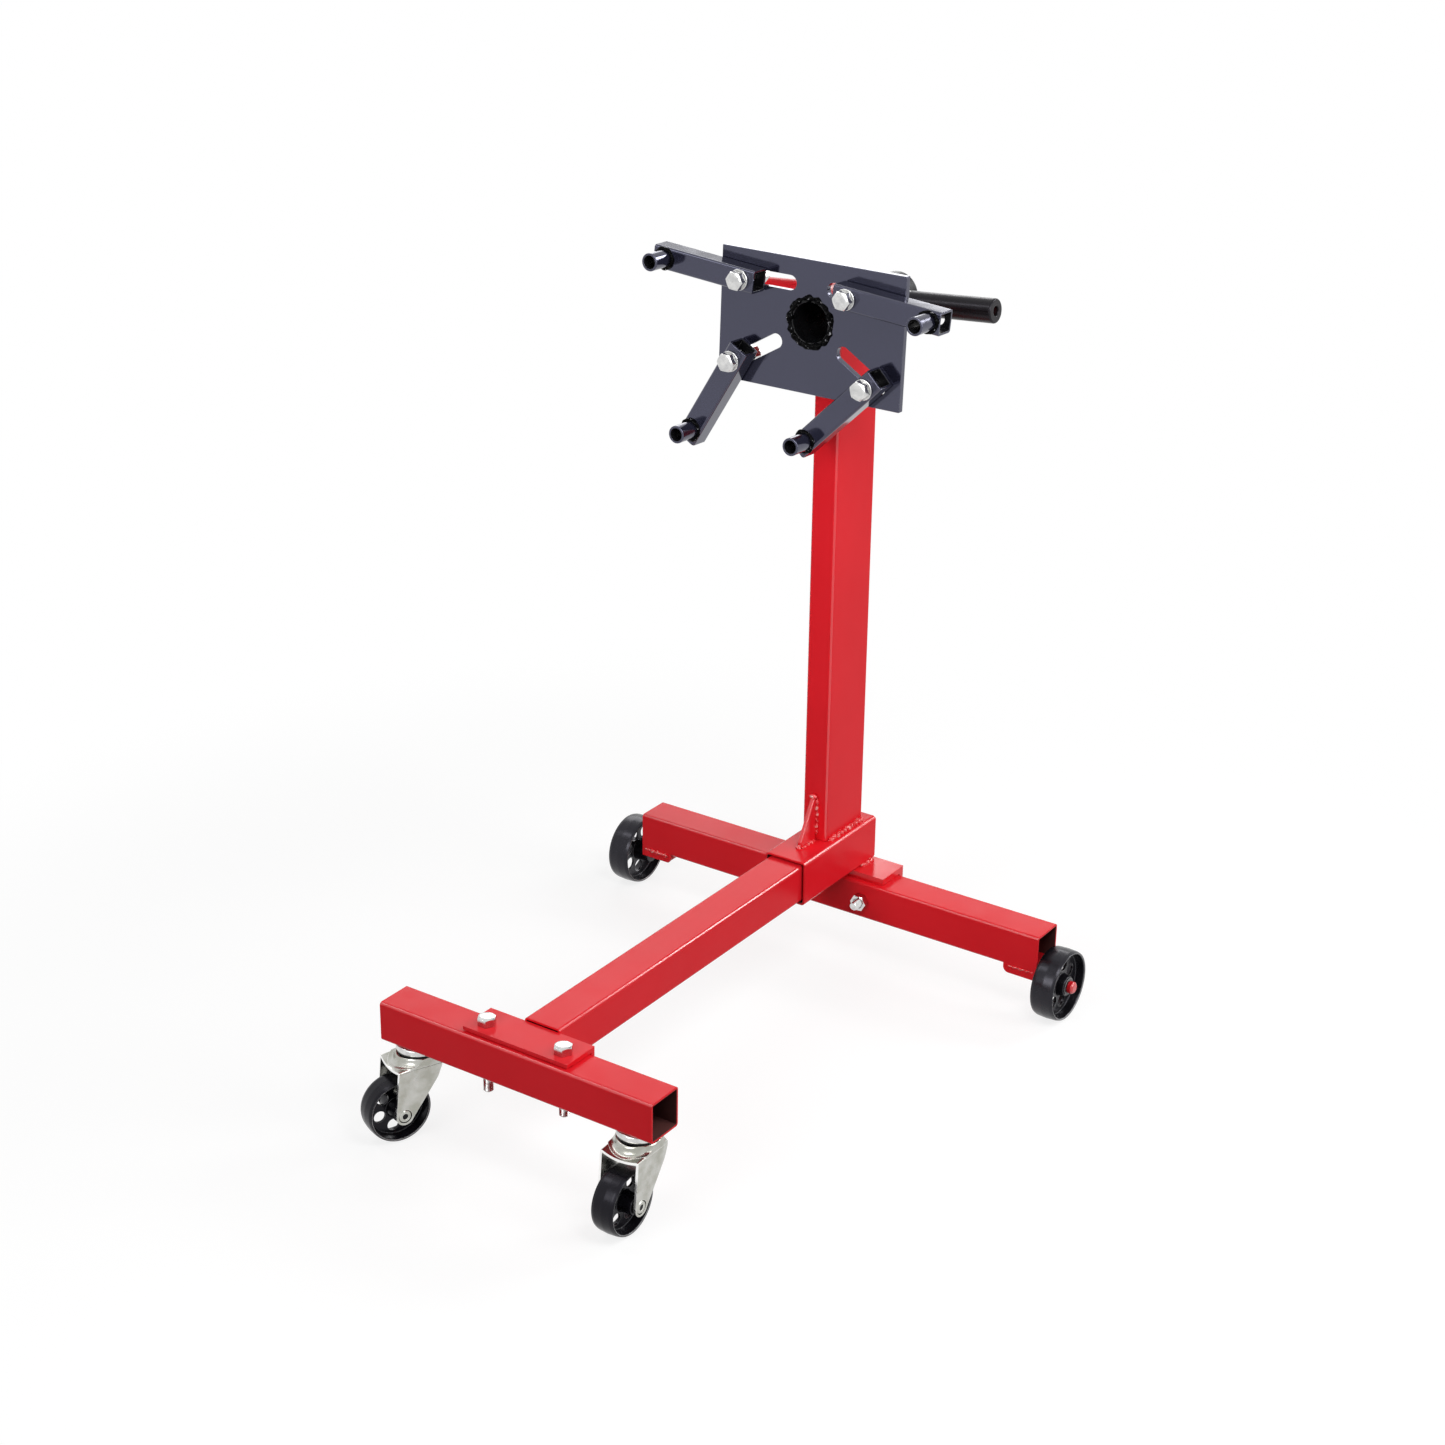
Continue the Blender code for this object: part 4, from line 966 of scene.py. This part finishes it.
def wheel_mesh(name, radius, half, web_at, bore, hub, hub_ends, holes, start):
    """Cast wheel about z: rim, flat web with round holes from an angle on, and hub."""
    number, hole_radius, pitch = holes
    low, high = hub_ends
    rim = radius - RIM_WALL
    root = rim - RIM_ROOT
    flare = hub + HUB_FLARE
    face = web_at + WEB_HALF
    back = web_at - WEB_HALF
    edge = [(rim, half - RIM_LIP), (rim + RIM_LIP, half)]
    edge += [(radius - SHOULDER * 0.5, half), (radius - TREAD_CROWN, half - SHOULDER)]
    profile = [(bore, low), (bore, high), (hub, high), (flare, face), (root, face)]
    profile += edge + [(radius, 0)] + [(r, -z) for r, z in reversed(edge)]
    profile += [(root, back), (flare, back), (hub, low)]
    mesh = turned(name, profile, steps=96, rounding=0.0012)
    tool = rods(name + "_holes", hole_radius, 0.1, circle(pitch, number, start))
    return cut(mesh, [(tool, UPRIGHT)])


def rim_patches(radius, half):
    """Lips of a wheel, which get the painted highlight."""
    rim = radius - RIM_WALL
    return (("rim", on_ring(rim - FINE, rim + RIM_LIP + FIT, half - RIM_LIP * 0.8)),)


def make_rear_wheels():
    for side, sign in SIDES:
        cad = "rear_wheel_" + side
        where = axes(JOINTS[cad + "_spin"]["pos_m"], (0, sign, 0), (sign, 0, 0))
        low, high = span(cad, where)
        ends = (low.z, high.z - WASHER_THICKNESS)
        bore = REAR_AXLE + 0.0004
        start = REAR_FIRST_HOLE[side]
        name = "rear_wheel_fine_" + side
        mesh = wheel_mesh(name, high.x, high.z, sign * REAR_WEB, bore, REAR_HUB, ends, REAR_HOLES, start)
        place(mesh, where, "cast", cad, patches=rim_patches(high.x, high.z))
        make_rear_axle(side, where, ends[1], high.z + FIT)


def make_rear_axle(side, where, hub_end, seat):
    """Axle with a rounded head, and the washer between the head and the hub."""
    low, high = span("rear_axle_" + side, where)
    profile = [(0, low.z), (REAR_AXLE, low.z), (REAR_AXLE, seat), (AXLE_HEAD, seat)]
    profile += [(AXLE_HEAD, high.z - 0.0022), (AXLE_HEAD * 0.74, high.z), (0, high.z)]
    lathe("rear_axle_fine_" + side, profile, where, "red_edge", "frame")
    washer = ring(REAR_AXLE + FINE, AXLE_WASHER, hub_end + FINE, seat - FINE)
    # The washer's rim gets the painted highlight too.
    edge_highlight_and_wear = (("rim", on_ring(AXLE_WASHER - 0.0007, AXLE_WASHER + 0.001, 0)),)
    lathe("axle_washer_" + side, washer, where, "cast", "frame", edge_highlight_and_wear, rounding=0.0004)


# Swivel casters
FORK_THICKNESS = 0.003
FORK_BEND = 0.0036
FORK_EDGE = 0.0003
FORK_BOSS = 0.0112
FORK_BOSS_END = radians(335)
FORK_FRONT = 0.037  # lip ahead of the swivel axis
FORK_REAR = 0.0180
SKIRT_REAR = 0.0120
FORK_SKIRT = 0.020  # height over which the rear edge falls back
RIVET_HEAD = 0.0080
RIVET_RECESS = 0.0086
RIVET_SEAT = 0.0241
CROWN_HEIGHT = 0.0085
CROWN_BORE = 0.0064
CROWN_FOOT = 0.0350
CROWN_EDGE = 0.0006
LIP_START = 0.016  # where the arch starts to fall towards its lip
LIP_FALL = 0.001
LIP_BULGE = 0.0036
LIP_FORWARD = 0.6  # how far the bulge also leans ahead
LIP_ROWS = 10
LIP_ROW = 0.0022
LIP_COLUMNS = 12
RACE_GAP = 0.0006
RACE_GROOVE = 0.0020
KING_NUT = 0.010
KING_NUT_HEIGHT = 0.0037
KING_PIN = 0.006
CASTER_WIDTH = 0.030
CASTER_BORE = 0.0054
CASTER_HUB = 0.0112
CASTER_HOLES = (6, 0.0074, 0.0228)
CASTER_FIRST_HOLE = {"left": radians(48), "right": radians(24)}


def arch(half, top, foot, bend, steps=8):
    """Outline of a square arch with round shoulders."""
    left = arc(bend - half, top - bend, bend, pi, pi / 2, steps)
    right = arc(half - bend, top - bend, bend, pi / 2, 0, steps)
    return [(-half, foot), *left, *right, (half, foot)]


def fork_arch(name, half, top, foot, axle):
    """Bent arch whose cheeks taper to bosses with a recess for the rivet's heads."""
    thick = FORK_THICKNESS
    bend = FORK_BEND
    inside = arch(half - thick, top - thick, foot, bend - thick)
    outline = arch(half, top, foot, bend) + inside[::-1]
    mesh = slab(name, [outline], 4 * half, FORK_EDGE)
    mesh.transform(FACING)
    over = top + thick
    cheek = [(-FORK_FRONT, over)]
    cheek += arc(axle.y, axle.z, FORK_BOSS, pi, FORK_BOSS_END, 24)
    cheek += [(SKIRT_REAR, top - FORK_SKIRT), (FORK_REAR, top - FORK_SKIRT / 4), (FORK_REAR, over)]
    side_tool = slab(name + "_side", [soften(cheek, 0.003, True)], 4 * half, FORK_EDGE)
    mesh = cut(mesh, [(side_tool, LYING)], "INTERSECT")
    recess = rods(name + "_recess", RIVET_RECESS, half, steps=48)
    turn = at(0, axle.y, axle.z) @ Z_TO_X
    deep = RIVET_SEAT + half / 2
    return cut(mesh, [(recess, turn @ at(0, 0, deep)), (recess, turn @ at(0, 0, -deep))])


def fork_crown(name, half, top, crown_top, race):
    """Flared crown that carries the race, trimmed to the arch."""
    under = top - FORK_THICKNESS + FINE
    profile = [(CROWN_BORE, under), (CROWN_FOOT, under), (CROWN_FOOT, top + FINE)]
    for radius, share in ((0.0312, 0.07), (0.0290, 0.25), (0.0278, 0.52)):
        profile.append((radius, top + CROWN_HEIGHT * share))
    profile += [(0.0270, crown_top - CROWN_HEIGHT * 0.15), (race, crown_top - CROWN_EDGE)]
    profile += [(race - CROWN_EDGE, crown_top), (CROWN_BORE, crown_top)]
    crown = turned(name + "_crown", profile, steps=96, rounding=0.0008)
    edge = half - FINE
    plan_tool = slab(name + "_plan", [ring(-edge, edge, -FORK_FRONT, FORK_REAR)], 1.0, FORK_EDGE)
    return cut(crown, [(plan_tool, UPRIGHT)], "INTERSECT")


def press_lip(mesh, half, top):
    """Presses the arch's front down into a lip that bulges in the middle."""
    pressed = 0.016
    fade = 0.010
    work = bmesh.new()
    work.from_mesh(mesh)
    lines = [(Vector((0, -LIP_START - LIP_ROW * i, 0)), Vector((0, 1, 0))) for i in range(LIP_ROWS)]
    for i in range(1, LIP_COLUMNS):
        lines.append((Vector((half * (i * 2 / LIP_COLUMNS - 1), 0, 0)), Vector((1, 0, 0))))
    for point, normal in lines:
        everything = list(work.verts) + list(work.edges) + list(work.faces)
        bmesh.ops.bisect_plane(work, geom=everything, dist=SAME_SPOT, plane_co=point, plane_no=normal)
    for vertex in work.verts:
        forward = smooth((-LIP_START - vertex.co.y) / (FORK_FRONT - LIP_START))
        high = smooth((vertex.co.z - top + pressed) / fade)
        middle = max(0.0, 1 - (vertex.co.x / half) ** 2)
        vertex.co.z -= forward * high * (LIP_FALL + LIP_BULGE * middle)
        vertex.co.y -= forward * high * LIP_BULGE * LIP_FORWARD * middle
    bmesh.ops.recalc_face_normals(work, faces=work.faces)
    work.to_mesh(mesh)
    work.free()


def make_race(side, where, crown_top):
    """Race with its king pin, and a dark ring in its groove that is painted shade; gives the race's
    radius.
    """
    low, high = span("caster_race_" + side, where)
    race = high.x
    gap = crown_top + RACE_GAP
    groove = gap + RACE_GROOVE
    nut = low.z + KING_NUT_HEIGHT
    profile = [(0, low.z), (KING_NUT, low.z), (KING_NUT, nut), (KING_PIN, nut), (KING_PIN, gap)]
    profile += [(race * 0.80, gap), (race * 0.80, groove), (race * 0.985, groove)]
    profile += [(race, groove + 0.0020), (race * 0.985, high.z - 0.0012)]
    profile += [(race * 0.93, high.z), (0, high.z)]
    name = "caster_race_fine_" + side
    lathe(name, profile, where, "zinc", "frame", steps=96, rounding=0.0008)
    groove_shade = ring(race * 0.81, race * 0.965, gap, groove - 0.0001)
    lathe("caster_seal_" + side, groove_shade, where, "dull", "frame", steps=96, rounding=0.0003)
    return race


def make_rivet(side, where, body):
    """Hollow axle rivet with rolled heads; a dark disc down each bore and a dark ring round each head
    are painted shade.
    """
    cad = "caster_rivet_" + side
    end = span(cad, where)[1].z
    seat = RIVET_SEAT
    head = RIVET_HEAD
    shank = 0.005
    bore = head * 0.46
    half = [(shank, seat), (head, seat), (head, end - 0.0012), (head * 0.84, end), (bore, end)]
    half += [(bore * 0.9, end - 0.0016), (0, end - 0.0017)]
    profile = [(radius, -z) for radius, z in reversed(half)] + half
    lathe(cad + "_fine", profile, where, "sheet", body, steps=48, rounding=0.0004)
    # Painted shade: a dark disc down each bore and a dark ring round each head.
    floor = end - 0.0022
    bore_shade = [(0, floor), (bore * 0.95, floor), (bore * 0.95, end - 0.0008), (0, end - 0.0012)]
    shadow_ring = ring(head + 0.0001, RIVET_RECESS - 0.0001, seat, seat + 0.0006)
    for tag, turn in (("near", where), ("far", where @ TURNED_OVER)):
        lathe(cad + "_bore_shade_" + tag, bore_shade, turn, "dull", body, steps=32, rounding=0.0001)
        lathe(cad + "_line_" + tag, shadow_ring, turn, "dull", body, steps=48, rounding=0.0001)


def make_caster_wheel(side, where):
    cad = "caster_wheel_" + side
    low, high = span(cad, where)
    half = CASTER_WIDTH / 2
    ends = (low.z, high.z)
    start = CASTER_FIRST_HOLE[side]
    name = "caster_wheel_fine_" + side
    mesh = wheel_mesh(name, high.x, half, 0, CASTER_BORE, CASTER_HUB, ends, CASTER_HOLES, start)
    place(mesh, where, "caster", cad, patches=rim_patches(high.x, half))


def make_casters():
    for side in CASTER_FIRST_HOLE:
        body = "caster_" + side
        spin = JOINTS[body + "_spin"]
        where = axes(JOINTS[body + "_swivel"]["pos_m"], spin["axis"], (0, 0, 1))
        cad = "caster_fork_" + side
        low, high = span(cad, where)
        race = make_race(side, where, high.z)
        half = -low.x
        top = high.z - CROWN_HEIGHT
        name = cad + "_fine"
        bent = fork_arch(name, half, top, low.z, where.inverted() @ Vector(spin["pos_m"]))
        crown = fork_crown(name, half, top, high.z, race)
        mesh = merged(name, [(bent, UPRIGHT), (crown, UPRIGHT)])
        press_lip(mesh, half, top)
        place(mesh, where, "sheet", body, SHARP_FORK, FORK_PATCHES)
        hub = axes(spin["pos_m"], (0, 0, 1), spin["axis"])
        make_rivet(side, hub, body)
        make_caster_wheel(side, hub)


# Turning head. Its frame looks out of the face of the plate: x right, y up, z to the engine
HEAD = axes(JOINTS["head_turn"]["pos_m"], (1, 0, 0), JOINTS["head_turn"]["axis"])
SPINDLE = span("spindle", HEAD)[1].x


def slot_ends(slot, sign):
    """Inner and outer end of a plate slot on one side."""
    x, y, travel, fall = slot
    outer = (sign * (x + travel * cos(fall)), y - travel * sin(fall))
    return (sign * x, y), outer


def make_plate():
    low, high = span("mount_plate", HEAD)
    size = high - low
    middle = (low + high) / 2
    outside = rounded_rectangle(size.x, size.y, 0.0012, 3)
    outside = [(x + middle.x, y + middle.y) for x, y in outside]
    loops = [outside, circle(SPINDLE + FIT, 72)]
    for sign in (-1, 1):
        for slot in (UPPER_SLOT, LOWER_SLOT):
            start, end = slot_ends(slot, sign)
            loops.append(stadium(start, end, SLOT_RADIUS))
    mesh = slab("mount_plate_fine", loops, size.z)
    where = HEAD @ at(0, 0, middle.z)
    place(mesh, where, "black", "head")
    front = SPINDLE + 0.0006
    bead_ring("weld_plate_front", HEAD, -0.0012, front, 96, 0.0040, "head", ragged=0.55, ripple=0.06)
    bead_ring("weld_plate_rear", HEAD, low.z, SPINDLE + 0.001, 48, 0.0030, "head", ragged=0.3)


def lock_height():
    """Height of the lock pin's axis in the head's frame."""
    low, high = span("lock_pin", HEAD)
    return (low.z + high.z) / 2


def make_spindle():
    low, high = span("spindle", HEAD)
    wall = ring(SPINDLE - SPINDLE_WALL, SPINDLE, low.z, high.z)
    mesh = turned("spindle_fine", wall, steps=96, rounding=0.0010)
    rod = span("handle_rod", HANDLE)[1].x
    across = rods("spindle_lock_holes", LOCK_HOLE, 3 * SPINDLE)
    rod_hole = rods("spindle_rod_hole", rod + FIT, 3 * SPINDLE)
    lock = at(0, 0, lock_height())
    tools = [(across, lock @ Z_TO_X), (across, lock @ Z_TO_Y), (rod_hole, HEAD.inverted() @ HANDLE)]
    mesh = cut(mesh, tools)
    place(mesh, HEAD, "dull", "head", patches=BORE_PATCHES)


def handle_frame():
    """Frame on the handle's rod: z along it to the grip, x to the engine."""
    points = [vertex.co for vertex in frame["nodes"]["handle_rod"].data.vertices]
    low, high = span("handle_rod")
    middle = (low.x + high.x) / 2
    near = [point for point in points if point.x < middle]
    far = [point for point in points if point.x >= middle]
    start = sum(near, Vector()) / len(near)
    end = sum(far, Vector()) / len(far)
    along = (end - start).normalized()
    origin = start - along * (start.x / along.x)
    return axes(origin, HEAD.to_3x3() @ Vector((0, 0, 1)), along)


HANDLE = handle_frame()


def make_handle():
    """Rod with a thicker left part, grip with a hole in its end, and collar."""
    low, high = span("handle_rod", HANDLE)
    radius = high.x
    thick = radius * 1.32
    step = -SPINDLE - 0.003
    rim = radius * 0.4
    rod = [(0, low.z), (thick - rim, low.z), (thick, low.z + rim), (thick, step), (radius, step)]
    rod += [(radius, high.z), (0, high.z)]
    lathe("handle_rod_fine", rod, HANDLE, "red", "head", steps=56)
    bore = radius + FIT
    low, high = span("handle_grip", HANDLE)
    grip = high.x * 1.08
    hole = 0.006
    cap = high.z - 0.0055
    end = high.z + 0.003
    profile = [(bore, low.z), (grip * 0.94, low.z), (grip, low.z + 0.0020)]
    profile += [(grip * 0.985, (low.z + high.z) / 2), (grip, end - 0.0016), (grip - 0.0012, end)]
    profile += [(hole + 0.0008, end), (hole, end - 0.0010), (hole, cap), (bore, cap)]
    lathe("handle_grip_fine", profile, HANDLE, "rubber", "head", steps=72, rounding=0.0010)
    collar = ring(bore, grip * 0.97, low.z - 0.0056, low.z - 0.0006)
    lathe("handle_collar", collar, HANDLE, "zinc", "head", rounding=0.0014)


def make_housing():
    """Housing with a boss for the lock pin on its left."""
    low, high = span("pivot_housing", HEAD)
    outside = high.y
    boss_radius = 0.010
    shell = ring(SPINDLE + 0.0004, outside, low.z, high.z)
    shell = turned("pivot_housing_fine", shell, steps=96, rounding=0.0010)
    boss = turned("lock_boss", ring(LOCK_HOLE, boss_radius, outside - 0.002, -low.x), steps=48)
    hole = rods("lock_hole", LOCK_HOLE, 2 * outside)
    shell = cut(shell, [(hole, at(-outside, 0, lock_height()) @ Z_TO_X)])
    to_left = at(0, 0, lock_height()) @ Z_TO_LEFT
    mesh = merged("pivot_housing_fine", [(shell, UPRIGHT), (boss, to_left)])
    place(mesh, HEAD, "red", "frame")


def make_lock():
    where = HEAD @ at(0, 0, lock_height()) @ Z_TO_LEFT
    low, high = span("lock_pin", where)
    pin = 0.005
    knob = high.x
    neck = high.z - 0.012
    profile = [(0, low.z), (pin * 0.8, low.z), (pin, low.z + 0.001), (pin, neck), (knob, neck)]
    profile += [(knob, high.z - 0.0024), (knob * 0.8, high.z), (0, high.z)]
    lathe("lock_pin_fine", profile, where, "zinc", "lock", steps=48)


# Arms. Each frame stands on its bolt: x along the arm, z to the engine
def arm_frame(arm):
    swing = JOINTS["arm_" + arm + "_swing"]
    low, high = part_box("arm_tube_" + arm)
    origin = Vector(swing["pos_m"])
    front = Vector(swing["axis"])
    reach = (low + high) / 2 - origin
    reach -= front * reach.dot(front)
    return axes(origin, reach, front)


def make_arm(arm, where):
    """Square tube with a bolt hole, and a short tube welded through its end."""
    cad = "arm_" + arm
    low, high = span(cad, where)
    size = high - low
    centre = (low + high) / 2
    middle = where @ LYING @ at(centre.y, centre.z, centre.x)
    tube_cad = "arm_tube_" + arm
    tube_low, tube_high = span(tube_cad, where)
    tube_x = (tube_low.x + tube_high.x) / 2
    radius = (tube_high.x - tube_low.x) / 2
    bore = radius - TUBE_WALL
    bolt_hole = rods(cad + "_bolt_hole", ARM_BOLT_RADIUS + BOLT_FIT, 0.2)
    tube_hole = rods(cad + "_tube_hole", bore, 0.2, [(tube_x, 0)])
    back = middle.inverted() @ where
    mesh = square_tube(cad + "_fine", size.y, size.z, size.x, ARM_CORNER)
    mesh = cut(mesh, [(bolt_hole, back), (tube_hole, back)])
    place(mesh, middle, "black", cad, patches=BORE_PATCHES)
    spot = where @ at(tube_x, 0, 0)
    tube = ring(bore, radius, tube_low.z, tube_high.z)
    name = "arm_tube_fine_" + arm
    lathe(name, tube, spot, "black", cad, BORE_PATCHES, rounding=0.0008)
    bead_ring("weld_" + tube_cad, spot, tube_low.z, radius + 0.0008, 40, 0.0030, cad, ragged=0.6)


def make_arm_bolt(arm, where):
    body = "bolt_" + arm
    low, high = span("arm_washer_" + arm, where)
    washer = ring(ARM_BOLT_RADIUS + BOLT_FIT, high.x, low.z, high.z)
    lathe("arm_washer_fine_" + arm, washer, where, "zinc", body, rounding=0.0006)
    put_bolt("arm_bolt_" + arm, where, ARM_BOLT, body, threaded=0.030)
    put_nut("arm_nut_" + arm, where @ TURNED_OVER, ARM_BOLT, body)


def make_arms():
    for arm in ARMS:
        where = arm_frame(arm)
        make_arm(arm, where)
        make_arm_bolt(arm, where)


# Welds of the base
def make_base_welds():
    post_low, post_high = span("post")
    sleeve_high = span("base_sleeve")[1]
    gusset_low, gusset_high = span("post_gusset")
    saddle_low, saddle_high = span("saddle_angle")
    foot = sleeve_high.z + 0.0006
    seam = {"left": 0.0024, "right": 0.0013}
    inset = 0.004
    for side, sign in SIDES:
        x = (post_high.x + 0.0012) * sign
        rear = min(post_high.y, sleeve_high.y) - 0.003
        red_bead("weld_post_" + side, (x, post_low.y + inset, foot), (x, rear, foot), 0.0050)
        x = (gusset_high.x + 0.0006) * sign
        front = gusset_low.y + 0.001
        y = gusset_high.y
        red_bead("weld_gusset_foot_" + side, (x, front, foot), (x, y - inset, foot), 0.0034)
        top = gusset_high.z - 0.002
        red_bead("weld_gusset_back_" + side, (x, y, foot + 0.006), (x, y, top), 0.0026)
        x = (sleeve_high.x - 0.0002) * sign
        z = saddle_high.z + 0.0004
        front = saddle_low.y + 0.016
        red_bead("weld_sleeve_" + side, (x, front, z), (x, sleeve_high.y - inset, z), 0.0052)
        low, high = span("axle_bracket_" + side)
        for edge, y in (("front", low.y), ("rear", high.y)):
            start = (low.x + inset, y, high.z)
            end = (high.x - inset, y, high.z)
            red_bead("weld_bracket_" + edge + "_" + side, start, end, seam[side], 0.8)
    tip = gusset_high.y - 0.003
    crest = gusset_high.z - 0.0004
    red_bead("weld_gusset_tip", (-0.0056, tip, crest), (0.0056, tip, crest), 0.0040, 0.3, 0.2)
    toe = gusset_low.y - 0.002
    red_bead("weld_gusset_toe", (-0.005, toe, foot), (0.005, toe, foot), 0.0036)


def make_beam_welds():
    beam_low, beam_high = span("centre_beam")
    angle_low, angle_high = span("front_angle")
    y = angle_high.y + 0.0004
    bottom = max(beam_low.z, angle_low.z) + 0.002
    top = angle_high.z - 0.002
    for side, x in (("left", beam_low.x), ("right", beam_high.x)):
        red_bead("weld_beam_" + side, (x, y, bottom), (x, y, top), 0.0028, 0.3, 0.2)


make_camera()
make_room()
make_floor()
make_lights()
make_beams()
make_angles()
make_post()
make_gusset()
make_base_bolts()
make_brackets()
make_rear_wheels()
make_casters()
make_plate()
make_spindle()
make_handle()
make_housing()
make_lock()
make_arms()
make_base_welds()
make_beam_welds()

view = bpy.context.scene.view_settings
view.view_transform = "Standard"
